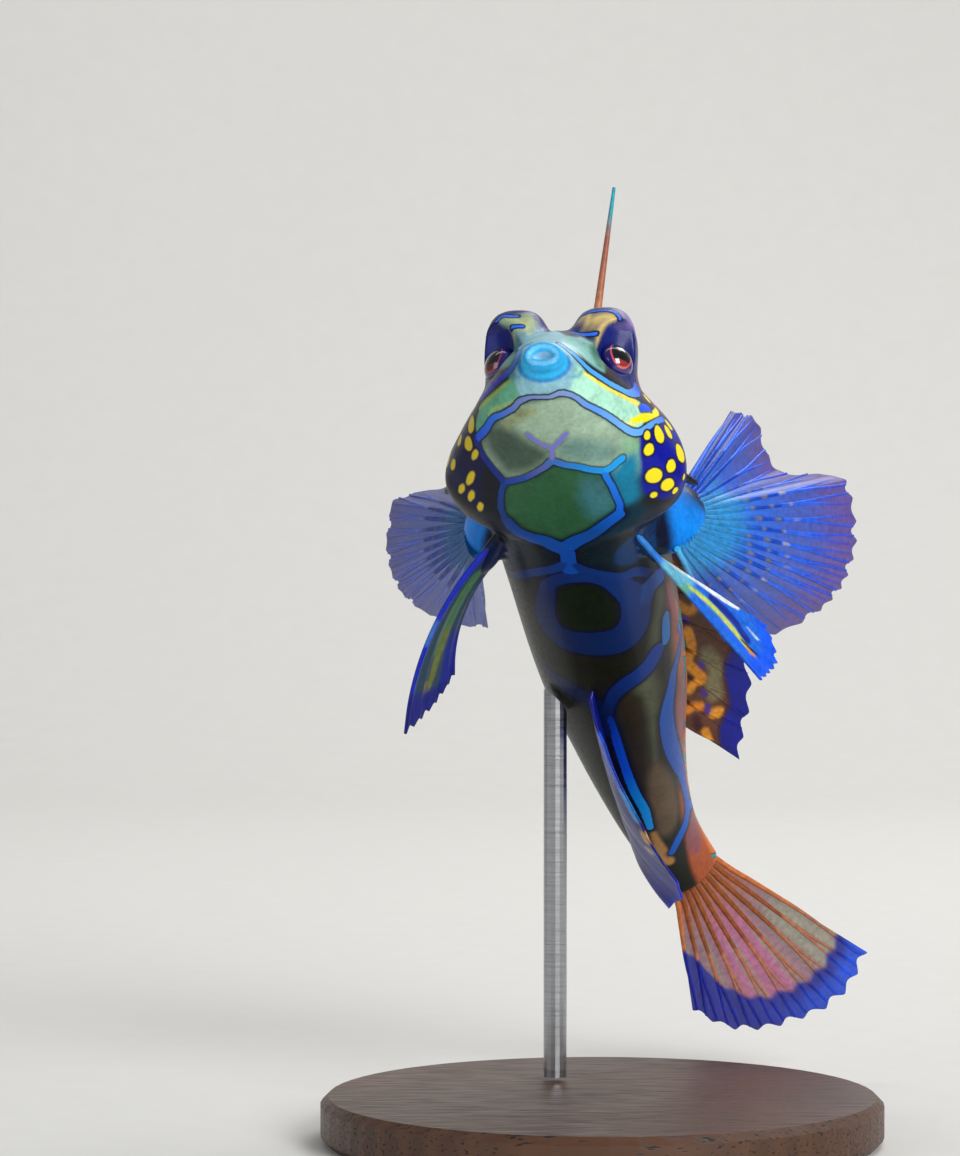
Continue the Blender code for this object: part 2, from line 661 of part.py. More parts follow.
# Pectoral fins: a fleshy lobe behind each gill cover, and a broad fan of rays round its outer edge
LOBE_STATION, LOBE_ACROSS, LOBE_ABOVE = 17.3, 5.2, 0.1
LOBE_HALF_DEPTH, LOBE_HALF_WIDTH, LOBE_REACH = 3.1, 0.9, 3.4
LOBE_AIM = (0.84, 0.54, -0.06)
PECTORAL_AIMS = (
    (0.0, 0.33, 0.78, 0.47),
    (0.12, 0.40, 0.80, 0.44),
    (0.25, 0.46, 0.86, 0.15),
    (0.36, 0.68, 0.72, 0.12),
    (0.5, 0.70, 0.70, -0.07),
    (0.65, 0.66, 0.72, -0.23),
    (0.8, 0.56, 0.76, -0.32),
    (0.9, 0.40, 0.83, -0.39),
    (1.0, 0.24, 0.87, -0.43),
)
PECTORAL_LENGTHS = ((0.0, 9.4), (0.12, 10.4), (0.25, 11.2), (0.36, 14.0), (0.5, 14.6), (0.8, 15.2), (0.9, 15.4), (1.0, 14.2))
PECTORAL_SWEEP = {1: 0.0, -1: 0.3}  # how much further back the fan points on each side
PECTORAL_RAYS = 20
FAN_ROOT_ANGLE = 62.0  # how far round the lobe's edge the fan's roots go, to each side of its middle


def lobe_aim(side):
    aim = LOBE_AIM if side > 0 else mirrored(LOBE_AIM, 13.0)
    return unit(aim)


def lobe(name, side):
    """The fleshy base: a flattened stub rooted on the trunk."""
    root = place(LOBE_STATION, side * LOBE_ACROSS, LOBE_ABOVE)
    up = spine_frame(np.array(LOBE_STATION))[2]
    aim = lobe_aim(side)
    thick = unit(np.cross(aim, up))
    rows = []
    profile = [(0.0, 0.5), (0.0, 1.0)] + [(reach, math.sqrt(1 - reach * reach)) for reach in (0.42, 0.65, 0.85, 0.96)]
    sides = 24
    for reach, size in profile:
        for j in range(sides):
            around = 2 * math.pi * j / sides
            rows.append(
                root
                + aim * LOBE_REACH * reach
                + up * LOBE_HALF_DEPTH * size * math.cos(around)
                + thick * LOBE_HALF_WIDTH * size * math.sin(around)
            )
    rows = np.array(rows)
    for j in range(2 * sides):
        rows[j] = rooted(rows[j] + aim * LOBE_REACH, rows[j] - aim * LOBE_REACH, [SHELL])
    inner = rooted(root + aim * LOBE_REACH, root - aim, [SHELL])
    outer = root + aim * LOBE_REACH
    made = solid(name, np.concatenate([rows, [inner, outer]]), tube_faces(len(profile), sides), CHEEK_SKIN)
    tidy(made)


def pectoral_fin(name, side):
    """The fan's roots lie just off the lobe's outer edge, from its top to its bottom."""
    root = place(LOBE_STATION, side * LOBE_ACROSS, LOBE_ABOVE)
    up = spine_frame(np.array(LOBE_STATION))[2]
    aim = lobe_aim(side)
    roots = []
    for share in np.linspace(0, 1, 9):
        around = math.radians(FAN_ROOT_ANGLE * (1 - 2 * share))
        reach = (LOBE_REACH + GAP) * math.cos(around)
        roots.append((share, *(root + aim * reach + up * (LOBE_HALF_DEPTH + GAP) * math.sin(around))))
    aims = [(row[0], row[1], row[2] + PECTORAL_SWEEP[side], row[3]) for row in aims_for(side, PECTORAL_AIMS, 13.0)]
    rays = fan(PECTORAL_RAYS, roots, aims, PECTORAL_LENGTHS, 8, (0.0, 0.06, 0.0), 0.0)
    fin(name, rays, FIN_SKIN, [], notch=0.03)


for side_name, side in (("left", 1), ("right", -1)):
    lobe("pectoral_base_" + side_name, side)
    pectoral_fin("pectoral_fin_" + side_name, side)


# Display stand: a round base, and a rod up to the lower right flank behind the balance point
BASE_RADIUS = 18.0
BASE_HEIGHT = 3.0
BASE_BEVEL = 0.5
ROD_RADIUS = 0.75
ROD_PLACE = (-2.9, 6.0)
ROD_SIDES = 16


def stand_base():
    profile = (
        (BASE_RADIUS - BASE_BEVEL, 0.0),
        (BASE_RADIUS, BASE_BEVEL),
        (BASE_RADIUS, BASE_HEIGHT - BASE_BEVEL),
        (BASE_RADIUS - BASE_BEVEL, BASE_HEIGHT),
    )
    sides = 64
    rows = []
    for radius, height in profile:
        for j in range(sides):
            around = 2 * math.pi * j / sides
            rows.append((radius * math.cos(around), radius * math.sin(around), height))
    rows += [(0, 0, 0), (0, 0, BASE_HEIGHT)]
    made = solid("stand_base", rows, tube_faces(len(profile), sides), STAND_WOOD, 30.0)
    tidy(made)


def stand_rod():
    """A straight rod whose top follows the skin above it."""
    rows = []
    for ring in range(2):
        for j in range(ROD_SIDES):
            around = 2 * math.pi * j / ROD_SIDES
            x = ROD_PLACE[0] + ROD_RADIUS * math.cos(around)
            y = ROD_PLACE[1] + ROD_RADIUS * math.sin(around)
            low = np.array((x, y, BASE_HEIGHT + GAP))
            rows.append(rooted(low, low + (0, 0, 60), [SHELL]) if ring else low)
    low = np.array((*ROD_PLACE, BASE_HEIGHT + GAP))
    rows += [low, rooted(low, low + (0, 0, 60), [SHELL])]
    made = solid("stand_rod", rows, tube_faces(2, ROD_SIDES), ROD_STEEL)
    tidy(made)


stand_base()
stand_rod()
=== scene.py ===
"""Mandarinfish, life size, as a painted museum model held by a plain display stand.

The sections follow the model as it is put together: the base, the rod, the body with its painted skin, the
eyes, the fins, and last the table, the lamps and the camera. The fish faces -Y with its throat to the camera
and its nose up. A place on its body is (station, degrees): the millimetres back from the mouth along the bent
spine, and the degrees round the body from the middle of the belly, with the fish's left side positive and the
middle of the back at 180.
"""

import math

import bpy
import numpy as np
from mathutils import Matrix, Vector
from mathutils.bvhtree import BVHTree


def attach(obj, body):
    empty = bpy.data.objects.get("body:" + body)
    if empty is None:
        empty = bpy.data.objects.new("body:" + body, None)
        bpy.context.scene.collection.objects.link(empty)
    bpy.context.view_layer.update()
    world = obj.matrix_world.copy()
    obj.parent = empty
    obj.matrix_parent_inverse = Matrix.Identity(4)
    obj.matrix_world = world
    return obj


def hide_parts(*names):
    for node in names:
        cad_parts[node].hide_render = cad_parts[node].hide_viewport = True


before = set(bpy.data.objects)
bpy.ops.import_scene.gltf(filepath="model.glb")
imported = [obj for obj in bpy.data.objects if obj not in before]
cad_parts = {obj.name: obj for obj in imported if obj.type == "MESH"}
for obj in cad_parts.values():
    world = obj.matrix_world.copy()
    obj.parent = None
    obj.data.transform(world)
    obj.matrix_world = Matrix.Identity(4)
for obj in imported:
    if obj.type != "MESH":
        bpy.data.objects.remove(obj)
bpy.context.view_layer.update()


# Display base
# A disc of walnut, turned on a lathe with a small rounded edge, sanded and wiped with oil. It stands flat on
# the table and carries the rod in a hole behind its middle.


def linear(sheet_colour):
    """The linear colour of an sRGB hex value."""
    parts = [int(sheet_colour[i : i + 2], 16) / 255 for i in (1, 3, 5)]
    return (*[p / 12.92 if p <= 0.04045 else ((p + 0.055) / 1.055) ** 2.4 for p in parts], 1.0)


def wire(tree, node, inputs):
    """Puts a number, a colour or another node's output on each of a node's inputs."""
    for socket, value in inputs.items():
        if isinstance(value, bpy.types.Node):
            value = value.outputs[0]
        if isinstance(value, bpy.types.NodeSocket):
            tree.links.new(value, node.inputs[socket])
        else:
            node.inputs[socket].default_value = value


def add(tree, kind, inputs=None, **settings):
    """Adds one node to a tree, with its settings, and with numbers or links on its inputs."""
    made = tree.nodes.new(kind)
    for name, value in settings.items():
        setattr(made, name, value)
    wire(tree, made, inputs or {})
    return made


def start_finish(name):
    """A new material, its tree and its main shader."""
    made = bpy.data.materials.new(name)
    made.use_nodes = True
    return made, made.node_tree, made.node_tree.nodes["Principled BSDF"]


def give_finish(node_name, finish):
    """Puts a finish on every slot of a carried-over CAD piece."""
    for slot in bpy.data.objects[node_name].material_slots:
        slot.material = finish


# Oiled walnut: dark brown heartwood with growth lines 1 to 2 mm apart and short open pores along the grain.
# The oil fills the wood but leaves its pores open, so the eye sees a low, broken sheen. The grain runs from
# left to right.
GROWTH_CELLS = (60.0, 520.0, 520.0)  # to the metre, along the grain and twice across it
WOOD_PORE_CELLS = (420.0, 5200.0, 5200.0)
walnut, tree, wood = start_finish("oiled_walnut")
place_in_wood = add(tree, "ShaderNodeTexCoord").outputs["Object"]
along_grain = add(tree, "ShaderNodeMapping", {"Vector": place_in_wood, "Scale": GROWTH_CELLS})
wander = add(tree, "ShaderNodeTexNoise", {"Vector": along_grain, "Scale": 0.35, "Detail": 3.0,
                                          "Roughness": 0.55})
growth = add(tree, "ShaderNodeTexWave", {"Vector": along_grain, "Scale": 0.42, "Distortion": 5.5,
                                         "Detail": 3.0, "Detail Scale": 0.6}, bands_direction="Y")
pore_place = add(tree, "ShaderNodeMapping", {"Vector": place_in_wood, "Scale": WOOD_PORE_CELLS})
pores = add(tree, "ShaderNodeTexNoise", {"Vector": pore_place, "Scale": 1.0, "Detail": 1.0})
open_pores = add(tree, "ShaderNodeMapRange", {"Value": pores, "From Min": 0.60, "From Max": 0.68})
heart = add(tree, "ShaderNodeMixRGB", {"Fac": growth.outputs["Fac"], "Color1": linear("#4A2F1E"),
                                       "Color2": linear("#2B1911")})
clouded = add(tree, "ShaderNodeMixRGB", {"Fac": wander, "Color1": heart, "Color2": linear("#5B3A26")})
drawn = add(tree, "ShaderNodeMixRGB", {"Fac": open_pores, "Color1": clouded, "Color2": linear("#170D08")})
sheen = add(tree, "ShaderNodeMapRange", {"Value": pores, "From Min": 0.3, "From Max": 0.7, "To Min": 0.36,
                                         "To Max": 0.55})
dent = add(tree, "ShaderNodeBump", {"Height": open_pores, "Strength": 0.35, "Distance": -0.00005})
wire(tree, wood, {"Base Color": drawn, "Roughness": sheen, "Normal": dent})
give_finish("stand_base", walnut)


# Display rod
# A straight rod of stainless steel, 1.5 mm thick, ground round and brushed along the lathe. Its top is cut to
# the slope of the flank and glued under it, and its foot sits in the base.

# Brushed stainless steel: fine rings round the rod, 0.15 mm apart so that they show, spread its highlight.
RING_CELLS = (250.0, 250.0, 6500.0)  # to the metre, twice across the rod and along it
steel, tree, metal = start_finish("brushed_stainless_steel")
place_on_rod = add(tree, "ShaderNodeTexCoord").outputs["Object"]
ring_place = add(tree, "ShaderNodeMapping", {"Vector": place_on_rod, "Scale": RING_CELLS})
brushing = add(tree, "ShaderNodeTexNoise", {"Vector": ring_place, "Scale": 1.0, "Detail": 2.0})
grey = add(tree, "ShaderNodeMixRGB", {"Fac": brushing, "Color1": linear("#8E9094"),
                                      "Color2": linear("#C6C8CB")})
streak = add(tree, "ShaderNodeMapRange", {"Value": brushing, "To Min": 0.2, "To Max": 0.42})
ridges = add(tree, "ShaderNodeBump", {"Height": brushing, "Strength": 0.3, "Distance": 0.00002})
wire(tree, metal, {"Base Color": grey, "Metallic": 1.0, "Roughness": streak, "Normal": ridges})
give_finish("stand_rod", steel)


# Body
# The body is one cast: a scaleless fish with a broad flat head, two eye turrets on top, a small pushed-out
# mouth, a hooked spine behind each cheek, a fleshy stub for each pectoral fin, and a tail stem that turns to
# its left.

MM = 0.001
SIDES = (("left", 1), ("right", -1))
FAR = 9.0  # the gap that a point gets when it lies too far off to matter
BODY_LENGTH = 52.0
HEAD_FRONT = 0.5
MOUTH_PLACE = (-4.0, -15.5, 49.9)
SPINE_REACH, SPINE_STEP = 72.0, 0.1

# How the spine lies: station, degrees nose-up, degrees turned to the fish's right, degrees rolled to its left
SPINE = (
    (0.0, 35.0, 10.0, -2.0), (12.0, 35.5, 10.0, -2.5), (18.0, 42.0, 13.5, -3.0), (24.0, 44.0, 14.0, 0.0),
    (30.0, 45.0, 14.2, 5.0), (36.0, 46.0, 15.0, 6.0), (41.0, 46.0, 19.0, 4.0), (47.0, 46.5, 29.0, 5.0),
    (52.0, 48.5, 47.0, 14.0), (58.0, 49.5, 50.0, 24.0), (64.0, 50.0, 50.0, 27.0),
    (SPINE_REACH, 50.0, 51.0, 28.0),
)

# Cross-sections: station, half width, top, bottom, level of the widest place, squareness above and below it
SECTIONS = (
    (0.5, 1.35, 1.25, -1.1, 0.0, 2.0, 2.0), (1.0, 1.95, 1.95, -1.5, 0.0, 2.0, 2.0),
    (2.0, 2.8, 3.0, -2.0, 0.1, 1.9, 2.1), (3.5, 3.8, 4.45, -2.55, 0.2, 1.6, 2.2),
    (5.0, 4.65, 5.6, -3.05, 0.2, 1.5, 2.3), (6.5, 5.45, 6.2, -3.45, 0.0, 1.5, 2.3),
    (8.0, 6.25, 6.4, -3.85, -0.3, 1.6, 2.3), (9.5, 7.0, 6.45, -4.2, -0.6, 1.7, 2.3),
    (11.0, 7.55, 6.45, -4.45, -0.8, 1.8, 2.3), (12.4, 7.3, 6.4, -4.6, -0.8, 1.8, 2.2),
    (13.6, 6.3, 6.35, -4.7, -0.6, 1.9, 2.1), (15.5, 5.55, 6.2, -4.8, -0.3, 2.0, 2.2),
    (20.0, 5.25, 6.0, -4.9, -0.1, 2.0, 2.3), (26.0, 5.05, 5.5, -4.7, 0.0, 2.0, 2.3),
    (32.0, 4.7, 4.85, -4.25, 0.0, 2.0, 2.2), (38.0, 3.75, 4.0, -3.6, 0.0, 2.0, 2.1),
    (44.0, 2.75, 3.15, -3.0, 0.0, 2.0, 2.0), (49.0, 1.95, 2.6, -2.35, 0.0, 2.0, 2.0),
    (BODY_LENGTH, 1.5, 2.45, -1.95, 0.0, 2.0, 2.0),
)

EYE_FRONT = (5.2, 4.45, 3.55)  # the outermost point of each eye, on the fish's left
EYE_LOOK = (-0.46, 0.88, 0.10)  # where each eye faces: back, out, up
EYE_RADII = (1.0, 1.2, 1.2)  # along the eye's own axis and twice across it
SOCKET_GAP = 0.02
EYE_GAZE = (-0.84, 0.50, 0.20)  # where the painted pupil faces, further forward than the ball's own axis
EYE_OPENING = 1.2
TURRET_PLACE = (6.6, 2.7, 4.9)
TURRET_RADII = (2.4, 2.05, 2.8)
TURRET_SQUARENESS = 2.8
TURRET_BLEND = 1.0
TURRET_SEARCH = np.linspace(0.0, 4.5, 91)  # millimetres out from the plain body where a turret may reach
LID_RADII = (0.8, 1.55, 1.5)  # a flat ball a little wider than the eye, which leaves a ring of flesh round it
BOWL_HEIGHT, BOWL_SLOPE, BOWL_SOFTNESS = 0.40, 0.8, 0.09  # the bowl pressed into the skin round each eye

# Lips, from deep in the mouth out to the face: station, half width, half height
LIP_RINGS = (
    (0.9, 0.3, 0.08), (0.35, 0.56, 0.18), (-0.1, 0.68, 0.28), (-0.36, 0.85, 0.44), (-0.42, 1.07, 0.7),
    (-0.27, 1.29, 0.94), (-0.05, 1.38, 1.04), (0.2, 1.27, 0.99),
)
CORNER_SET_BACK = 0.25  # how far the corners of the mouth lie behind its middle
BODY_SIDES = 200
FACE_RINGS, FACE_STEP, TRUNK_START, TRUNK_STEP = 25, 0.12, 3.6, 0.22
# The round end of the tail stem: how far beyond it each ring lies, and its size as a share of the stem's
STEM_END = ((0.0, 1.0), (0.12, 0.93), (0.22, 0.75), (0.28, 0.45))

CHEEK_SPINE_PLACE = (12.0, 7.0, -0.7)
CHEEK_SPINE_AIM = (0.80, 0.50, 0.20)
CHEEK_SPINE_LENGTH = 1.9
CHEEK_SPINE_RADIUS = 0.5
CHEEK_BARBS = ((0.45, 0.75), (0.75, 0.6))
NOSTRILS = ((3.55, 1.75, 2.95, 0.27), (2.75, 1.75, 2.3, 0.24))  # station, across, above, radius
NOSTRIL_AIM = (-0.55, 0.35, 0.76)
NOSTRIL_RISE = 0.3
NOSTRIL_BORE = 0.13
LOBE_STATION, LOBE_ACROSS, LOBE_ABOVE = 17.3, 5.2, 0.1
LOBE_HALF_DEPTH, LOBE_HALF_WIDTH, LOBE_REACH = 3.1, 0.9, 3.4
LOBE_AIM = (0.84, 0.54, -0.06)
LOBE_SIDES = 48
MIRROR_STATION = 13.0  # the right pectoral fin mirrors the left one across the body's middle here
# The pelvic fins: their first and last ray's station, how far out and above the spine each starts, the radii
# of their fleshy roots, and by share from the first ray to the last one, which way each ray points
PELVIC_STATIONS = (14.2, 16.4)
PELVIC_ACROSS = {1: (4.2, 4.5), -1: (4.8, 5.0)}
PELVIC_ABOVE = {1: (-3.5, -3.3), -1: (-3.8, -3.6)}
PELVIC_ROOT_RADII, PELVIC_ROOT_OUT = (1.7, 1.5, 0.62), 0.2
PELVIC_AIMS = {
    1: ((0.0, 0.589, 0.428, -0.685), (0.5, 0.64, 0.49, -0.59), (1.0, 0.706, 0.553, -0.444)),
    -1: ((0.0, -0.64, 0.3, -0.7), (0.5, -0.59, 0.44, -0.69), (1.0, -0.54, 0.55, -0.65)),
}


def read(table, column, at):
    """A table's column between its stations, along a smooth curve that makes no highs or lows of its own."""
    x = np.array([row[0] for row in table])
    y = np.array([row[column] for row in table])
    step = np.diff(x)
    slope = np.diff(y) / step
    tangent = np.zeros_like(y)
    same = slope[:-1] * slope[1:] > 0
    before, after = slope[:-1][same], slope[1:][same]
    tangent[1:-1][same] = 2 * before * after / (before + after)
    tangent[0], tangent[-1] = slope[0], slope[-1]
    at = np.clip(np.asarray(at, float), x[0], x[-1])
    i = np.clip(np.searchsorted(x, at, side="right") - 1, 0, len(x) - 2)
    t = (at - x[i]) / step[i]
    ends = (1 + 2 * t) * (1 - t) ** 2 * y[i] + t * t * (3 - 2 * t) * y[i + 1]
    return ends + step[i] * (t * (1 - t) ** 2 * tangent[i] - t * t * (1 - t) * tangent[i + 1])


def unit(vector):
    """A vector's direction, 1 long."""
    return np.asarray(vector, float) / np.linalg.norm(vector)


def spine_frame(station):
    """Unit vectors towards the tail, the fish's left and its back, at these stations."""
    pitch, turn, roll = (np.radians(read(SPINE, column, station)) for column in (1, 2, 3))
    flat = np.zeros_like(pitch)
    back = np.stack([np.sin(turn) * np.cos(pitch), np.cos(turn) * np.cos(pitch), -np.sin(pitch)], -1)
    left = np.stack([np.cos(turn), -np.sin(turn), flat], -1)
    up = np.stack([np.sin(turn) * np.sin(pitch), np.cos(turn) * np.sin(pitch), np.cos(pitch)], -1)
    c, s = np.cos(roll)[..., None], np.sin(roll)[..., None]
    return back, c * left - s * up, c * up + s * left


SPINE_STATIONS = np.arange(-3.0, SPINE_REACH + SPINE_STEP / 2, SPINE_STEP)
steps = spine_frame(SPINE_STATIONS)[0]
steps = (steps[1:] + steps[:-1]) / 2 * SPINE_STEP
SPINE_LINE = np.concatenate([[np.zeros(3)], np.cumsum(steps, axis=0)])
SPINE_LINE += np.array(MOUTH_PLACE) - SPINE_LINE[np.argmin(np.abs(SPINE_STATIONS))]


def place(station, across, above):
    """Points in space, in millimetres, of places on the fish."""
    station, across, above = np.broadcast_arrays(*(np.asarray(v, float) for v in (station, across, above)))
    centre = np.stack([np.interp(station, SPINE_STATIONS, SPINE_LINE[:, k]) for k in range(3)], -1)
    _, left, up = spine_frame(station)
    return centre + across[..., None] * left + above[..., None] * up


def own_direction(station, side, aim):
    """A direction given as back, out and up on one side of the fish, turned into the world's."""
    back, left, up = spine_frame(np.array(station))
    return unit(aim[0] * back + aim[1] * side * left + aim[2] * up)


def body_skin(station, angle):
    """The skin with its eye turrets. Angle 0 is the back, and a quarter turn the fish's left side. Along each
    line out from the middle of a cross-section it is the last place inside the plain body or a turret."""
    width, top, bottom, level, square_up, square_down = (read(SECTIONS, k, station) for k in range(1, 7))
    rise, out = np.cos(angle), np.sin(angle)
    square = np.where(rise > 0, square_up, square_down)
    reach = np.where(rise > 0, top - level, level - bottom)
    across = width * np.sign(out) * np.abs(out) ** (2 / square)
    above = reach * np.sign(rise) * np.abs(rise) ** (2 / square)
    plain = np.hypot(across, above)
    out, rise = across / plain, above / plain
    furthest = plain.copy()
    for extra in TURRET_SEARCH:
        distance = plain + extra
        gap = np.full_like(plain, FAR)
        for side in (1, -1):
            shift = [
                (station - TURRET_PLACE[0]) / TURRET_RADII[0],
                (out * distance - side * TURRET_PLACE[1]) / TURRET_RADII[1],
                (level + rise * distance - TURRET_PLACE[2]) / TURRET_RADII[2],
            ]
            size = sum(np.abs(v) ** TURRET_SQUARENESS for v in shift) ** (1 / TURRET_SQUARENESS)
            gap = np.minimum(gap, (size - 1) * min(TURRET_RADII))
        mix = np.clip(0.5 + (gap - extra) / (2 * TURRET_BLEND), 0, 1)
        joined = gap + (extra - gap) * mix - TURRET_BLEND * mix * (1 - mix)
        furthest = np.where(joined <= 0, distance, furthest)
    return place(station, out * furthest, level + rise * furthest)


def ring_faces(rings, sides):
    """Faces of a closed body of rings of points, then one more point at each end."""
    faces, total, last = [], rings * sides, (rings - 1) * sides
    for j in range(sides):
        k = (j + 1) % sides
        faces += [(total, k, j), (total + 1, last + j, last + k)]
        for i in range(0, last, sides):
            faces.append((i + j, i + k, i + k + sides, i + j + sides))
    return faces


def new_piece(name, points, faces, edges=()):
    """An object of these points, given in millimetres."""
    mesh = bpy.data.meshes.new(name)
    mesh.from_pydata([tuple(p) for p in np.asarray(points, float) * MM], list(edges), faces)
    mesh.validate()
    mesh.shade_smooth()
    made = bpy.data.objects.new(name, mesh)
    bpy.context.scene.collection.objects.link(made)
    return made


def circle(sides):
    """Angles evenly round a circle."""
    return 2 * np.pi * np.arange(sides) / sides


def ball(centre, axes, radii, rings=24, sides=36):
    """Points and faces of an ellipsoid with its poles on the first axis."""
    polar, around = (np.pi * np.arange(1, rings) / rings)[:, None], circle(sides)
    local = (np.cos(polar) + 0 * around, np.sin(polar) * np.cos(around), np.sin(polar) * np.sin(around))
    points = sum(r * k[..., None] * np.array(axis) for r, k, axis in zip(radii, local, axes)).reshape(-1, 3)
    pole = radii[0] * np.array(axes[0])
    return np.concatenate([points + centre, [centre + pole, centre - pole]]), ring_faces(rings - 1, sides)


ASKEW = (0.31, 0.87, 0.38)  # a direction that no tube runs along


def tube(line, radii, sides=16):
    """Points and faces of a closed round tube along a line of points, with a radius at each and flat ends."""
    line = np.array(line)
    around = circle(sides)
    rows = []
    for k, (point, radius) in enumerate(zip(line, radii)):
        along = unit(line[min(k + 1, len(line) - 1)] - line[max(k - 1, 0)])
        first = unit(np.cross(along, ASKEW))
        ring = np.cos(around)[:, None] * first + np.sin(around)[:, None] * np.cross(along, first)
        rows.append(point + radius * ring)
    return np.concatenate([*rows, line[[0, -1]]]), ring_faces(len(line), sides)


def eye_axes(side, facing):
    """The middle of one eye, the way that its ball or pupil faces, and two directions across that: a level
    one, and one that is nearly upright."""
    look, ahead = (own_direction(EYE_FRONT[0], side, aim) for aim in (EYE_LOOK, facing))
    front = place(EYE_FRONT[0], side * EYE_FRONT[1], EYE_FRONT[2])
    level_axis = unit(np.cross(ahead, (0, 0, 1)))
    return front - look * EYE_RADII[0], ahead, level_axis, np.cross(level_axis, ahead)


def mirrored(direction, side):
    """A direction given for the fish's left side, turned over for its right one."""
    left = spine_frame(np.array(MIRROR_STATION))[1]
    return direction if side > 0 else direction - 2 * np.dot(direction, left) * left


def stub_axes(side):
    """The root of one pectoral fin's stub, the way it points, its upright direction and its thin one."""
    aim = unit(mirrored(np.array(LOBE_AIM), side))
    up = spine_frame(np.array(LOBE_STATION))[2]
    return place(LOBE_STATION, side * LOBE_ACROSS, LOBE_ABOVE), aim, up, unit(np.cross(aim, up))


def pelvic_roots(side):
    """Where the first and the last ray of a pelvic fin leave the throat."""
    rows = zip(PELVIC_STATIONS, PELVIC_ACROSS[side], PELVIC_ABOVE[side])
    return [place(station, side * across, above) for station, across, above in rows]


def pelvic_root_axes(side):
    """The middle of one pelvic fin's fleshy root, its aim, the line of its rays, and across both."""
    front, rear = pelvic_roots(side)
    aim, along = unit(PELVIC_AIMS[side][1][1:]), unit(rear - front)
    return (front + rear) / 2 + aim * PELVIC_ROOT_OUT, aim, along, np.cross(aim, along)


def body_rings():
    """Rings of points from deep in the mouth over the lips and the face to the end of the tail stem."""
    angles = np.arange(BODY_SIDES) / BODY_SIDES * 2 * np.pi
    knots = np.arange(len(LIP_RINGS), dtype=float)
    table = [(k, *row) for k, row in zip(knots, LIP_RINGS)]
    at = np.linspace(0, knots[-1], 60)
    station, half_width, half_height = (read(table, k, at) for k in (1, 2, 3))
    across = half_width[:, None] * np.sin(angles)
    widest = max(row[1] for row in LIP_RINGS)
    set_back = CORNER_SET_BACK * (across / widest) ** 2 * np.clip((0.2 - station) / 0.25, 0, 1)[:, None]
    mouth = place(station[:, None] + set_back, across, half_height[:, None] * np.cos(angles))
    stations = np.concatenate([HEAD_FRONT + FACE_STEP * np.arange(FACE_RINGS),
                               np.arange(TRUNK_START, BODY_LENGTH - 0.1, TRUNK_STEP)])
    rows, columns = np.meshgrid(stations, angles, indexing="ij")
    flesh = body_skin(rows, columns)
    rim, middle = body_skin(np.full(BODY_SIDES, BODY_LENGTH), angles), place(BODY_LENGTH, 0.0, 0.25)
    back = spine_frame(np.array(BODY_LENGTH))[0]
    end = [middle + (rim - middle) * share + back * beyond for beyond, share in STEM_END]
    return np.concatenate([mouth, flesh, np.array(end)])


def join_shapes(shapes):
    """Points and faces of several closed shapes as one list."""
    points, faces, count = [], [], 0
    for shape_points, shape_faces in shapes:
        points.append(shape_points)
        faces += [tuple(count + i for i in face) for face in shape_faces]
        count += len(shape_points)
    return np.concatenate(points), faces


rings = body_rings()
ends = np.array([rings[0].mean(0), rings[-1].mean(0)])
body_shape = (np.concatenate([rings.reshape(-1, 3), ends]), ring_faces(rings.shape[0], rings.shape[1]))
plain_body = BVHTree.FromPolygons([Vector(p) for p in body_shape[0]], body_shape[1])

shapes, tubes, bores = [body_shape], [], []
for side in (1, -1):
    centre, *ball_axes = eye_axes(side, EYE_LOOK)
    shapes.append(ball(centre, ball_axes, LID_RADII))
    bores.append(ball(centre, ball_axes, [radius + SOCKET_GAP for radius in EYE_RADII]))
    start = place(CHEEK_SPINE_PLACE[0], side * CHEEK_SPINE_PLACE[1], CHEEK_SPINE_PLACE[2])
    aim = own_direction(CHEEK_SPINE_PLACE[0], side, CHEEK_SPINE_AIM)
    up = spine_frame(np.array(CHEEK_SPINE_PLACE[0]))[2]
    shapes.append(tube((start - aim * 0.8, start + aim * CHEEK_SPINE_LENGTH), (CHEEK_SPINE_RADIUS, 0.14)))
    for share, length in CHEEK_BARBS:
        foot = start + aim * CHEEK_SPINE_LENGTH * share
        radius = CHEEK_SPINE_RADIUS * 0.5 * (1 - share * 0.6)
        shapes.append(tube((foot, foot + unit(up + 0.45 * aim) * length), (radius, 0.1)))
    for station, across, above, radius in NOSTRILS:
        foot = place(station, side * across, above)
        aim = own_direction(station, side, NOSTRIL_AIM)
        tubes.append(tube((foot - aim * 0.5, foot + aim * NOSTRIL_RISE), (radius * 1.25, radius), 24))
        bores.append(tube((foot - aim * 0.1, foot + aim * 0.8), (NOSTRIL_BORE, NOSTRIL_BORE)))
    # the fleshy stub of a pectoral fin: rings that close into a round end
    root, aim, up, thin = stub_axes(side)
    around = circle(LOBE_SIDES)[:, None]
    ring = up * LOBE_HALF_DEPTH * np.cos(around) + thin * LOBE_HALF_WIDTH * np.sin(around)
    reaches = np.concatenate([[-0.45, -0.2], np.sin(np.linspace(0, 1.5, 20))])
    rows = [root + aim * LOBE_REACH * reach + ring * math.sqrt(1 - max(reach, 0) ** 2) for reach in reaches]
    stub = np.concatenate([*rows, [rows[0].mean(0), root + aim * LOBE_REACH]])
    shapes.append((stub, [face[::-1] for face in ring_faces(len(rows), LOBE_SIDES)]))
    # each pelvic fin leaves the throat through a small fleshy root
    middle, *root_axes = pelvic_root_axes(side)
    shapes.append(ball(middle, root_axes, PELVIC_ROOT_RADII))

skin = new_piece("fish_skin", *join_shapes(shapes))


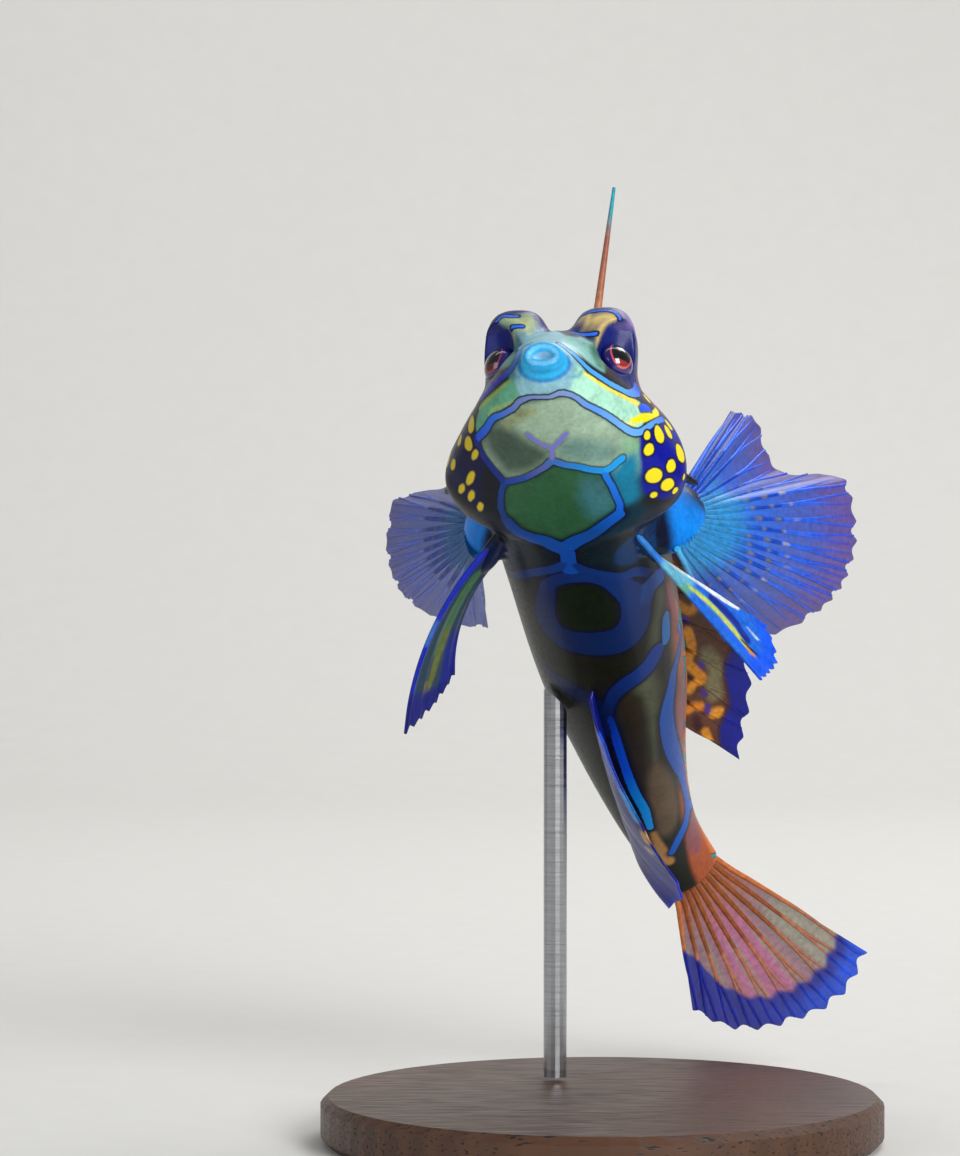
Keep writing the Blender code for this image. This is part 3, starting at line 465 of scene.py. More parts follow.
def applied(piece):
    """Gives a piece the mesh that its modifiers make of it, and removes them."""
    bpy.context.view_layer.update()
    made = bpy.data.meshes.new_from_object(piece.evaluated_get(bpy.context.evaluated_depsgraph_get()))
    piece.modifiers.clear()
    old, piece.data = piece.data, made
    bpy.data.meshes.remove(old)


def mesh_points(mesh):
    """Where a mesh's points are, in millimetres."""
    flat = np.empty(len(mesh.vertices) * 3)
    mesh.vertices.foreach_get("co", flat)
    return flat.reshape(-1, 3) / MM


def set_mesh_points(mesh, points):
    """Moves a mesh's points to these places, in millimetres."""
    mesh.vertices.foreach_set("co", (points * MM).ravel())
    mesh.update()


def relax(mesh, rounds):
    """Evens out a mesh's surface without shrinking it."""
    ends = np.empty(len(mesh.edges) * 2, int)
    mesh.edges.foreach_get("vertices", ends)
    a, b = ends.reshape(-1, 2).T
    count = len(mesh.vertices)
    near = np.bincount(a, minlength=count) + np.bincount(b, minlength=count)
    points = mesh_points(mesh)
    for turn in range(rounds * 2):
        total = [np.bincount(a, points[b, k], count) + np.bincount(b, points[a, k], count) for k in range(3)]
        pull = np.stack(total, 1) / near[:, None] - points
        points = points + pull * (0.55 if turn % 2 == 0 else -0.57)
    set_mesh_points(mesh, points)


VOXEL = 0.128  # millimetres between neighbouring points of the skin
melt = skin.modifiers.new("one_flesh", "REMESH")
melt.mode = "VOXEL"
melt.voxel_size = VOXEL * MM
applied(skin)
relax(skin.data, 6)

# round each eye the skin is pressed back into a shallow bowl, so that the lid's edge runs round the eye
pressed = mesh_points(skin.data)
for side in (1, -1):
    centre, gaze, _, _ = eye_axes(side, EYE_GAZE)
    off = pressed - centre
    height = off @ gaze
    spread = np.sqrt(np.maximum((off**2).sum(1) - height**2, 0))
    ceiling = BOWL_HEIGHT + BOWL_SLOPE * (spread - EYE_OPENING)
    near = np.nonzero((spread < 2.2) & (height > -0.5) & (height < 3.0) & (ceiling < height + 0.8))[0]
    lower = np.exp(-height[near] / BOWL_SOFTNESS) + np.exp(-ceiling[near] / BOWL_SOFTNESS)
    softened = -BOWL_SOFTNESS * np.log(lower)
    pressed[near] += (softened - height[near])[:, None] * gaze
set_mesh_points(skin.data, pressed)
relax(skin.data, 2)

for operation, parts in (("UNION", tubes), ("DIFFERENCE", bores)):
    tools = [new_piece("tool", *shape) for shape in parts]
    group = bpy.data.collections.new("tools")
    for tool in tools:
        group.objects.link(tool)
    cut = skin.modifiers.new("cut", "BOOLEAN")
    cut.operation, cut.operand_type, cut.collection, cut.solver = operation, "COLLECTION", group, "MANIFOLD"
    applied(skin)
    for tool in tools:
        bpy.data.objects.remove(tool)
    bpy.data.collections.remove(group)
skin.data.shade_smooth()


# Paint on the body
# The skin is painted by hand over the cast: soft grounds of olive, green and orange first, then blue lines
# with dark edges drawn along the body's own bends, and yellow spots last. The paint lies under a clear
# wet-looking varnish. Painted shade is laid in too: the underside, the hollows under the head and the
# fish's right side are painted darker than their own colours.


BATCH = 3000  # points worked on at a time
NEAR = 1.5  # how far round a stroke or a patch its gap is worked out
OUTSIDE = 14.0  # a distance from the spine that lies outside the body everywhere
CURVE_STEPS = 12


def own_places(points):
    """The station, the distance from the spine and the degrees round it, for points in space."""
    back, left, up = spine_frame(SPINE_STATIONS)
    station, across, above = (np.empty(len(points)) for _ in range(3))
    for start in range(0, len(points), BATCH):
        some = points[start : start + BATCH]
        nearest = np.argmin(((some[:, None, :] - SPINE_LINE[None, ::4]) ** 2).sum(-1), axis=1) * 4
        for _ in range(3):
            shift = ((some - SPINE_LINE[nearest]) * back[nearest]).sum(1)
            nearest = np.clip(nearest + np.round(shift / SPINE_STEP).astype(int), 0, len(SPINE_STATIONS) - 1)
        off = some - SPINE_LINE[nearest]
        rows = slice(start, start + len(some))
        station[rows] = SPINE_STATIONS[nearest] + (off * back[nearest]).sum(1)
        across[rows] = (off * left[nearest]).sum(1)
        above[rows] = (off * up[nearest]).sum(1)
    return station, across, above


def on_skin(station, degrees):
    """The point of the plain body at this place, found from outside."""
    level = float(read(SECTIONS, 4, station))
    turn = math.radians(degrees)
    middle = place(station, 0.0, level)
    far = place(station, OUTSIDE * math.sin(turn), level - OUTSIDE * math.cos(turn))
    hit = plain_body.ray_cast(Vector(far), Vector(unit(middle - far)))[0]
    return np.array(middle if hit is None else hit)


def between_four(p0, p1, p2, p3, t):
    """A place at the share t of the way from p1 to p2, on a smooth curve through all four points."""
    return 0.5 * (2 * p1 + (p2 - p0) * t + (2 * p0 - 5 * p1 + 4 * p2 - p3) * t**2
                  + (3 * p1 - p0 - 3 * p2 + p3) * t**3)


def drawn_through(knots, spacing=0.12):
    """A smooth curve through rows of numbers, with its points evenly close together."""
    knots = np.array(knots, float)
    padded = np.concatenate([[2 * knots[0] - knots[1]], knots, [2 * knots[-1] - knots[-2]]])
    t = np.linspace(0, 1, CURVE_STEPS + 1)[:-1, None]
    stretches = [between_four(*padded[i : i + 4], t) for i in range(len(knots) - 1)]
    curve = np.concatenate([*stretches, knots[-1:]])
    length = np.concatenate([[0], np.cumsum(np.linalg.norm(np.diff(curve[:, :3], axis=0), axis=1))])
    at = np.linspace(0, length[-1], max(3, int(length[-1] / spacing)))
    return np.stack([np.interp(at, length, column) for column in curve.T], 1)


def stroke_gap(points, curve):
    """For each point, the millimetres to the edge of a stroke, less than 0 inside it, and how far along it
    that is. curve has rows of a place in space and the stroke's half width there."""
    gap, share = np.full(len(points), FAR), np.zeros(len(points))
    reach = curve[:, 3].max() + NEAR
    low, high = curve[:, :3].min(0) - reach, curve[:, :3].max(0) + reach
    near = np.nonzero(((points > low) & (points < high)).all(1))[0]
    start, step = curve[:-1, :3], np.diff(curve[:, :3], axis=0)
    size = (step**2).sum(1)
    for first in range(0, len(near), BATCH):
        some = near[first : first + BATCH]
        off = points[some][:, None, :] - start[None]
        t = np.clip((off * step).sum(-1) / size, 0, 1)
        distance = np.sqrt(((off - t[..., None] * step) ** 2).sum(-1))
        half = curve[:-1, 3] + (curve[1:, 3] - curve[:-1, 3]) * t
        best = np.argmin(distance - half, axis=1)
        rows = np.arange(len(some))
        gap[some] = (distance - half)[rows, best]
        share[some] = (best + t[rows, best]) / len(step)
    return gap, share


def patch_gap(x, y, corners):
    """For each flat place, the distance to the edge of a patch with these corners, less than 0 inside it."""
    corners = drawn_through([(*c, 0.0) for c in (*corners, corners[0])], 0.25)[:, :2]
    gap = np.full(len(x), FAR)
    low, high = corners.min(0) - NEAR, corners.max(0) + NEAR
    near = np.nonzero((x > low[0]) & (x < high[0]) & (y > low[1]) & (y < high[1]))[0]
    here = np.stack([x[near], y[near]], 1)
    distance = np.full(len(near), FAR)
    inside = np.zeros(len(near), bool)
    for a, b in zip(corners[:-1], corners[1:]):
        step = b - a
        t = np.clip(((here - a) @ step) / max(step @ step, 1e-9), 0, 1)
        distance = np.minimum(distance, np.linalg.norm(here - a - t[:, None] * step, axis=1))
        crosses = (a[1] > here[:, 1]) != (b[1] > here[:, 1])
        at = a[0] + (here[:, 1] - a[1]) * step[0] / (step[1] if abs(step[1]) > 1e-9 else 1e-9)
        inside ^= crosses & (here[:, 0] < at)
    gap[near] = np.where(inside, -distance, distance)
    return gap


def plain_colour(colour, count):
    """Rows of one hex colour."""
    return np.tile(np.array(linear(colour)[:3]), (count, 1))


def coats(colours, *layers):
    """Lays coats of paint over rows of colours. Each coat is a hex colour and its share in each row."""
    for colour, share in layers:
        share = np.broadcast_to(np.clip(share, 0, 1), len(colours))[:, None]
        colours = colours * (1 - share) + np.array(linear(colour)[:3]) * share
    return colours


def fade(gap, soft):
    """1 well inside an edge and 0 well outside it, over the width soft on each side."""
    t = np.clip(0.5 - gap / (2 * soft), 0, 1)
    return t * t * (3 - 2 * t)


def rise_between(value, low, high):
    """0 below low, 1 above high, and a smooth rise between them."""
    t = np.clip((value - low) / (high - low), 0, 1)
    return t * t * (3 - 2 * t)


def store(mesh, name, values):
    """Keeps numbers or colours on a mesh's points."""
    numbers = values.ndim == 1
    made = mesh.attributes.new(name, "FLOAT" if numbers else "FLOAT_COLOR", "POINT")
    rows = values if numbers else np.concatenate([values, np.ones((len(values), 1))], 1)
    made.data.foreach_set("value" if numbers else "color", rows.astype(np.float32).ravel())


skin_points = mesh_points(skin.data)
station, across, above = own_places(skin_points)
level = read(SECTIONS, 4, station)
degrees = np.degrees(np.arctan2(across, level - above))
GIRTH = 0.085  # millimetres round the body for each degree, near enough for the patches
girth_place = degrees * GIRTH
HEAD_END = 11.0

# Grounds, from the first coat to the last: name, colour, softness, and corners as station and degrees
GROUNDS = (
    ("chin", "#9AB49C", 0.4, ((2.2, -39), (1.7, 0), (1.7, 30), (2.2, 47), (3.8, 58), (5.2, 65), (6.2, 71),
     (7.1, 67), (8.2, 62), (8.2, 54), (7.5, 48), (7.1, 40), (6.5, 20), (6.0, 0), (7.1, -24), (7.7, -41),
     (7.3, -50), (6.6, -60), (6.0, -65), (4.4, -60), (3.1, -51))),
    # painted shade: the lower chin is painted darker than the chin above it, deepest on the fish's right
    ("chin_shade_right", "#44584A", 0.7, ((4.6, -72), (4.0, -50), (4.2, -33), (4.8, -17), (5.4, -4), (6.2, -8),
     (7.0, -24), (7.4, -42), (6.7, -53), (5.7, -65))),
    ("chin_shade_middle", "#6E9288", 0.6, ((4.6, 11), (4.7, 31), (5.3, 46), (6.0, 56), (6.8, 56), (6.8, 42),
     (6.3, 22), (5.6, 6))),
    ("chin_shade_left", "#80AE88", 0.5, ((5.8, 64), (6.7, 74), (7.8, 73), (8.4, 64), (8.2, 58), (7.3, 56),
     (6.4, 60))),
    ("throat_plate", "#2B5A3A", 0.3, ((8.2, -43), (7.8, -33), (7.4, -20), (6.7, -6), (6.6, 6), (7.0, 24),
     (7.5, 41), (8.6, 44), (9.8, 46), (10.9, 43), (11.6, 33), (12.2, 20), (12.6, 8), (12.9, -3), (12.6, -18),
     (12.1, -32), (11.6, -40), (10.6, -46), (9.5, -47), (8.7, -46))),
    ("plate_left", "#3A747C", 0.9, ((7.8, 26), (8.0, 39), (9.0, 45), (10.4, 45), (11.0, 37), (10.8, 26),
     (9.2, 20))),
    ("throat_side_left", "#067A9E", 0.4, ((7.8, 47), (7.1, 56), (7.1, 65), (7.7, 66), (8.9, 62), (10.0, 59),
     (10.4, 54), (10.2, 50), (9.2, 48))),
    # painted shadow: near-black in the hollow under each gill cover
    ("gill_hollow_shade_left", "#063044", 0.5, ((11.0, 45), (10.6, 51), (10.4, 58), (11.4, 61), (12.4, 56),
     (13.1, 46), (13.4, 31), (13.8, 19), (13.9, 7), (12.8, 23), (11.9, 35))),
    ("gill_hollow_shade_right", "#020C1C", 0.5, ((7.2, -60), (7.9, -50), (9.6, -50), (11.2, -48), (13.3, -39),
     (13.8, -19), (14.0, -5), (14.7, -7), (14.6, -31), (15.7, -59), (11.7, -58), (9.2, -61))),
    ("brow_left", "#D0B870", 0.15, ((5.0, 171), (4.8, 167), (4.4, 160), (4.4, 154), (4.5, 149), (4.4, 146),
     (4.2, 143), (4.2, 150), (4.2, 159), (4.8, 170))),
    ("brow_right", "#B0BC88", 0.15, ((4.4, -148), (4.4, -152), (4.4, -158), (4.5, -162), (4.6, -167),
     (4.2, -161), (4.2, -151), (4.3, -143), (4.4, -144))),
    ("snout_side_left", "#70B0AA", 0.2, ((2.5, 167), (3.7, 161), (3.9, 151), (4.2, 143), (4.2, 134),
     (3.2, 114), (2.9, 101), (2.1, 102), (1.6, 110), (1.2, 130), (1.2, 149))),
    ("under_eye_left", "#447A62", 0.3, ((3.9, 149), (4.2, 141), (4.1, 131), (3.0, 107), (2.4, 107),
     (2.5, 128))),
    # painted shade: the right side of the snout is a darker copy of the left side's colour
    ("snout_side_right", "#4A8A84", 0.3, ((4.2, -139), (4.2, -146), (4.1, -150), (1.7, -128), (1.2, -104),
     (1.8, -101), (4.2, -129))),
    ("jaw_band_left", "#AEE6CC", 0.15, ((1.0, 97), (1.8, 83), (3.3, 85), (5.3, 94), (6.5, 99), (6.4, 82),
     (6.2, 75), (5.3, 70), (4.2, 65), (3.1, 59), (2.1, 52), (1.6, 46), (1.1, 68))),
    # painted shade: the right jaw band is a darker copy of the left one
    ("jaw_band_right", "#60A888", 0.15, ((1.2, -70), (1.7, -46), (2.5, -50), (3.4, -60), (4.4, -67),
     (5.6, -70), (5.9, -73), (5.2, -82), (4.0, -83), (2.6, -76), (1.7, -72))),
    ("cheek_left", "#060E90", 0.15, ((6.5, 76), (7.2, 88), (9.3, 109), (10.2, 111), (10.7, 104), (10.6, 94),
     (11.1, 88), (11.7, 83), (11.4, 75), (10.8, 68), (10.1, 63), (9.2, 62), (8.0, 66), (7.2, 69))),
    # painted shade: the right cheek is a near-black copy of the left one's deep blue
    ("cheek_right", "#03083A", 0.2, ((5.8, -91), (6.0, -68), (7.2, -60), (9.2, -61), (10.7, -59),
     (10.7, -66), (10.2, -75), (10.6, -90), (9.1, -95), (7.7, -98))),
    # painted shade: near-black under the head on each side of the neck
    ("fork_shade_left", "#021820", 0.3, ((14.9, -5), (14.0, -19), (13.8, -40), (14.7, -49), (17.4, -58),
     (17.2, -47), (16.4, -28), (15.4, -12))),
    ("fork_shade_right", "#041A24", 0.3, ((14.9, 7), (13.9, 17), (13.8, 27), (13.8, 41), (14.8, 55), (17.2, 67),
     (19.1, 70), (18.1, 54), (17.7, 41), (17.2, 28), (16.6, 18), (15.7, 10))),
    # partly painted shade: the belly's own dark olive inside the ring, painted near-black
    ("belly_olive_and_shade", "#0A1A0C", 0.4, ((18.4, -14), (17.8, -7), (17.7, 4), (18.1, 19), (18.8, 26), (19.9, 29),
     (21.1, 29), (22.2, 26), (22.5, 17), (22.6, 5), (22.6, -5), (22.2, -13), (21.1, -17), (19.8, -17))),
    ("belly_side_left", "#4E543C", 0.6, ((20.6, 60), (22.2, 69), (24.1, 62), (26.1, 58), (27.8, 52),
     (30.2, 55), (33.0, 50), (37.1, 44), (32.5, 42), (30.2, 37), (28.9, 30), (27.5, 41), (26.3, 48),
     (24.2, 52), (22.4, 58))),
    ("belly_brown", "#2A2418", 0.6, ((29.7, 15), (28.8, 29), (30.2, 39), (33.6, 40), (38.0, 37), (39.9, 21),
     (37.5, 12), (34.1, 12))),
    ("belly_tan", "#5C4A34", 0.6, ((37.1, 44), (39.1, 57), (41.9, 67), (44.6, 66), (45.8, 43), (44.6, 27),
     (41.2, 27), (38.7, 34))),
    ("flank_salmon", "#8A4A50", 0.5, ((22.2, 77), (24.6, 96), (27.5, 100), (30.6, 105), (33.6, 107),
     (37.1, 100), (41.1, 108), (44.6, 115), (48.4, 130), (50.0, 113), (48.7, 76), (45.9, 88), (43.5, 95),
     (40.3, 88), (36.1, 71), (32.5, 71), (30.6, 88), (26.9, 84), (24.0, 76))),
)

# Soft strokes over the grounds: name, colour, softness, and rows of station, degrees and half width
STROKES = (
    ("chin_yellow", "#8C9464", 0.5, ((3.9, -48, 0.2), (3.3, -42, 0.3), (2.8, -32, 0.3), (2.6, -20, 0.2))),
    ("band_edge_left", "#F2E45A", 0.08, ((1.4, 83, 0.08), (2.0, 83, 0.12), (2.6, 83, 0.14), (3.4, 85, 0.16),
     (4.2, 88, 0.18), (5.1, 91, 0.2), (5.8, 94, 0.26), (6.1, 91, 0.22))),
    ("band_foot_left", "#E6EC8C", 0.1, ((3.9, 64, 0.08), (4.6, 67, 0.12), (5.4, 71, 0.16), (5.8, 76, 0.18))),
    ("hook_left", "#F5E90E", 0.06, ((5.5, 77, 0.12), (5.9, 81, 0.22), (6.2, 86, 0.26), (6.6, 90, 0.3),
     (7.3, 97, 0.32), (8.1, 105, 0.3), (8.7, 113, 0.18))),
    # painted shade: the right band's edge and foot are duller copies of the left ones' yellows
    ("band_edge_right", "#90B062", 0.08, ((1.3, -72, 0.08), (1.8, -74, 0.12), (2.3, -76, 0.14),
     (3.2, -79, 0.17), (4.1, -83, 0.19), (4.8, -85, 0.16))),
    ("band_foot_right", "#94B474", 0.1, ((2.1, -47, 0.08), (2.6, -55, 0.1), (3.1, -62, 0.13),
     (3.5, -67, 0.14), (4.1, -70, 0.12))),
    ("snout_crease", "#4A9CB4", 0.16, ((0.9, 60, 0.05), (1.2, 72, 0.08), (1.3, 84, 0.06))),
    ("snout_shade", "#4E8E98", 0.3, ((0.9, -62, 0.1), (1.2, -78, 0.2), (1.2, -92, 0.2))),
    ("snout_patch", "#0AA0F0", 0.14, ((0.9, -148, 0.1), (1.15, -148, 0.12))),
    ("anal_ochre", "#B8884C", 0.16, ((44.9, 24, 0.2), (46.2, 25, 0.34), (47.4, 28, 0.42), (48.5, 34, 0.36))),
)

# Lines: name, colours from end to end, strength of the dark edge, and rows of station, degrees and half width
LINES = (
    ("turret_left", ("#2A6BE0",), 1.0, ((5.0, 172, 0.1), (4.8, 168, 0.11), (4.5, 162, 0.11),
     (4.5, 157, 0.11), (4.5, 153, 0.11), (4.5, 150, 0.11), (4.5, 145, 0.11))),
    ("turret_right", ("#2A6BE0",), 1.0, ((4.5, -147, 0.11), (4.5, -151, 0.11), (4.4, -155, 0.11),
     (4.4, -158, 0.1))),
    ("brow_left", ("#2A6BE0",), 1.0, ((4.4, 174, 0.1), (4.2, 166, 0.12), (4.1, 159, 0.14), (4.1, 152, 0.14),
     (4.2, 146, 0.14), (4.2, 140, 0.25))),
    ("brow_right", ("#2A6BE0",), 1.0, ((4.3, -142, 0.14), (4.2, -147, 0.14), (4.2, -152, 0.13),
     (4.2, -158, 0.12))),
    ("snout_left", ("#3AA0E8", "#4AA4F2", "#5AA8F5", "#2A60E0"), 1.0, ((0.9, 157, 0.1), (0.8, 135, 0.14),
     (1.0, 112, 0.18), (1.4, 99, 0.19), (1.8, 93, 0.2), (2.5, 91, 0.2), (3.3, 91, 0.21), (4.2, 94, 0.22),
     (5.2, 98, 0.26), (6.4, 110, 0.36), (6.9, 118, 0.4))),
    # painted shade: the right snout line is painted a darker blue than the left one
    ("snout_right", ("#3AA0E8", "#0A14A0", "#0A14A0"), 0.6, ((1.4, -152, 0.12), (1.4, -135, 0.16),
     (0.9, -110, 0.24), (1.1, -92, 0.26), (1.7, -88, 0.28), (2.8, -90, 0.32), (3.9, -93, 0.36),
     (5.1, -98, 0.36))),
    ("jaw", ("#1550E0", "#2A70E8", "#6F86C0", "#7F95C8", "#5A9AF0", "#70B0FF", "#58A4F8", "#2A78F0"), 0.9,
     ((6.2, -72, 0.26), (5.0, -66, 0.26), (4.1, -64, 0.21), (3.4, -56, 0.18), (2.7, -47, 0.18),
     (2.1, -41, 0.18), (1.7, -27, 0.13), (1.6, -9, 0.12), (1.6, 10, 0.13), (1.5, 29, 0.17), (1.7, 40, 0.16),
     (2.1, 48, 0.15), (2.7, 52, 0.17), (3.6, 60, 0.18), (4.3, 64, 0.19), (5.1, 67, 0.2), (5.9, 71, 0.22),
     (6.4, 76, 0.22), (6.8, 84, 0.2), (7.5, 94, 0.18), (9.0, 108, 0.2))),
    ("chin_stem", ("#7878C8",), 0.25, ((6.2, -1, 0.14), (5.6, 0, 0.15), (5.2, 0, 0.16))),
    ("chin_arm_right", ("#7878C8",), 0.25, ((5.2, 0, 0.16), (4.8, -12, 0.16), (4.5, -19, 0.16),
     (4.2, -25, 0.16))),
    ("chin_arm_left", ("#7878C8",), 0.25, ((5.2, 0, 0.16), (4.9, 6, 0.16), (4.5, 13, 0.17), (4.2, 19, 0.17))),
    # painted shade: the throat's lines grow darker towards the fish's right, and the right-hand ones are
    # darker copies
    ("throat", ("#0F3C98", "#2A4CA4", "#5460A8", "#3C74C8", "#1C8CE0", "#1898E8"), 0.7, ((8.1, -46, 0.23),
     (7.8, -38, 0.22), (7.5, -29, 0.21), (7.1, -20, 0.2), (6.6, -9, 0.22), (6.2, -1, 0.26), (6.5, 11, 0.24),
     (6.8, 25, 0.23), (7.1, 33, 0.23), (7.4, 43, 0.24))),
    ("throat_up_right", ("#0E2E88", "#0A1F78"), 0.8, ((8.1, -46, 0.24), (7.6, -51, 0.24), (7.2, -56, 0.24),
     (6.8, -62, 0.26), (6.5, -67, 0.26), (6.2, -72, 0.28))),
    ("throat_up_left", ("#18A0F0",), 0.7, ((7.4, 43, 0.24), (7.3, 49, 0.23), (7.1, 53, 0.23),
     (7.0, 57, 0.24))),
    ("plate_left", ("#187CE4", "#0A5CDC"), 0.8, ((7.4, 43, 0.21), (8.0, 44, 0.21), (8.7, 46, 0.21),
     (9.5, 47, 0.22), (10.2, 48, 0.22), (11.0, 46, 0.24))),
    # painted shade: the right plate line and the right end of the rear one are painted darker than the left
    ("plate_right", ("#123C88", "#0A3478"), 0.8, ((8.1, -46, 0.2), (8.8, -48, 0.19), (9.6, -49, 0.2),
     (10.4, -49, 0.22), (11.3, -46, 0.26))),
    ("plate_rear", ("#063A84", "#0548A0", "#064CA8", "#064A9C", "#0A60D0"), 0.8, ((11.3, -46, 0.4),
     (12.2, -41, 0.48), (12.8, -31, 0.52), (13.1, -19, 0.55), (13.8, -5, 0.56), (13.1, 9, 0.52),
     (12.5, 24, 0.46), (11.7, 36, 0.42), (11.0, 46, 0.4))),
    # partly painted shade: the neck lines are their own blue, painted darker because the underside lies in
    # shade
    ("neck", ("#0648A6",), 0.8, ((13.8, -5, 0.55), (14.4, -1, 0.5), (15.1, -1, 0.48), (16.4, 0, 0.54))),
    ("neck_right", ("#063682", "#041E4C"), 0.8, ((15.6, -3, 0.41), (16.2, -15, 0.37), (16.7, -27, 0.34),
     (17.4, -39, 0.32), (18.4, -53, 0.3))),
    ("neck_left", ("#063070", "#053074"), 0.8, ((15.7, 1, 0.42), (16.3, 8, 0.42), (16.9, 18, 0.4),
     (17.5, 28, 0.4), (17.9, 36, 0.4), (18.0, 46, 0.38), (18.9, 56, 0.32))),
    # partly painted shade: the ring is painted navy, much darker than its own bright blue, as the belly lies
    # in shade
    ("ring", ("#031C50", "#052E70", "#042A68", "#03245C", "#022054", "#031C50"), 1.0, ((19.2, -24, 0.62),
     (17.9, -20, 0.5), (17.2, -10, 0.5), (17.0, 2, 0.52), (17.1, 13, 0.51), (17.7, 25, 0.6), (18.8, 34, 0.78),
     (20.2, 41, 0.95), (21.7, 42, 1.1), (23.0, 37, 1.16), (23.7, 26, 1.18), (23.8, 12, 1.16),
     (23.7, -1, 1.12), (23.4, -13, 1.04), (22.6, -23, 0.9), (21.2, -27, 0.72), (19.2, -24, 0.62))),
    ("ring_wing", ("#063070", "#0A50A8"), 1.0, ((21.2, 45, 0.95), (20.4, 53, 0.85), (20.2, 61, 0.75),
     (20.5, 70, 0.6))),
    # partly painted shade: the vee's blues are painted darker, as the belly lies in shade
    ("vee_right", ("#021844", "#031C50"), 0.9, ((27.9, -38, 0.5), (28.3, -27, 0.62), (28.9, -19, 0.7),
     (29.3, -11, 0.7), (30.1, -2, 0.68), (31.5, 2, 0.54), (33.2, 4, 0.43))),
    ("vee_left", ("#043488", "#021C50"), 0.9, ((26.4, 55, 0.64), (27.1, 48, 0.65), (27.6, 40, 0.65),
     (28.1, 30, 0.62), (28.8, 21, 0.51), (29.9, 14, 0.4), (31.4, 9, 0.3))),
    ("flank_left", ("#0456B4", "#0452B0", "#0348A4", "#0348A4", "#0456B4", "#0456B4"), 0.8, ((28.2, 96, 0.2),
     (28.9, 82, 0.32), (29.6, 73, 0.4), (30.7, 68, 0.46), (32.2, 62, 0.56), (33.6, 60, 0.62),
     (36.0, 63, 0.66), (38.5, 71, 0.64), (41.0, 83, 0.52), (43.5, 94, 0.44), (45.2, 97, 0.54),
     (46.1, 83, 0.46), (46.9, 58, 0.36), (47.7, 42, 0.26))),
    ("flank_branch_left", ("#0A60C8",), 0.8, ((45.2, 100, 0.4), (46.2, 122, 0.22))),
    ("flank_right", ("#0A60C4", "#0450B4", "#0A60C8"), 0.8, ((28.0, -96, 0.24), (29.4, -82, 0.4),
     (30.8, -70, 0.56), (33.2, -62, 0.74), (36.4, -66, 0.8), (39.6, -78, 0.7), (42.6, -92, 0.5),
     (45.0, -96, 0.52), (46.6, -62, 0.4))),
    ("flank_spot_left", ("#0A78C8",), 0.6, ((24.3, 68, 0.42), (25.2, 67, 0.5), (26.1, 66, 0.42))),
    ("flank_spot_right", ("#0A78C8",), 0.6, ((24.0, -70, 0.42), (25.2, -68, 0.5), (26.3, -67, 0.42))),
    ("flank_dash_left", ("#0A78C8",), 0.6, ((27.0, 90, 0.2), (28.0, 94, 0.2))),
    ("anal_foot", ("#06308C", "#0850D8", "#0A60F0", "#1098F0", "#10A0F0"), 0.5, ((31.0, 9, 0.2),
     (32.4, 11, 0.28), (34.6, 12, 0.32), (36.9, 13, 0.32), (38.8, 14, 0.34), (40.3, 16, 0.34),
     (42.1, 21, 0.34), (44.2, 22, 0.24))),
    ("blob_left", ("#0A58F0",), 0.8, ((6.1, 92, 0.18), (6.7, 99, 0.3), (7.3, 103, 0.26))),
)

# Spots: colour, then rows of station, degrees, half length along the body and half width round it
SPOTS = (
    ("#F5DF1E", ((7.0, 80, 0.25, 0.33), (7.9, 89, 0.48, 0.6), (9.0, 99, 0.4, 0.5), (7.6, 75, 0.35, 0.42),
     (10.1, 93, 0.5, 0.66), (9.5, 81, 0.38, 0.45), (9.1, 70, 0.52, 0.5), (10.2, 74, 0.42, 0.42),
     (10.9, 84, 0.2, 0.24), (11.0, 76, 0.26, 0.24), (10.3, 66, 0.24, 0.21), (8.0, 117, 0.34, 0.4),
     (9.6, 108, 0.4, 0.4), (11.3, 96, 0.3, 0.4))),
    # painted shade: the spots on the right cheek are painted a duller yellow than the left ones
    ("#D8C020", ((6.2, -85, 0.45, 0.6), (7.0, -78, 0.42, 0.5), (7.1, -69, 0.42, 0.24), (9.2, -84, 0.4, 0.36),
     (8.7, -68, 0.6, 0.24), (9.9, -66, 0.5, 0.2), (9.8, -72, 0.43, 0.22), (10.5, -61, 0.44, 0.18),
     (8.0, -90, 0.35, 0.4), (10.2, -94, 0.4, 0.5), (8.6, -102, 0.35, 0.5))),
)

# How far back the pale snout reaches, all the way round it: degrees, station
SNOUT_EDGE = (
    (-180, 4.0), (-171, 4.6), (-159, 4.2), (-153, 4.1), (-132, 1.5), (-96, 0.7), (-74, 1.1), (-56, 1.7),
    (-42, 1.9), (-8, 1.5), (31, 1.5), (56, 2.0), (71, 1.5), (99, 1.1), (138, 1.4), (171, 3.0), (180, 4.0),
)

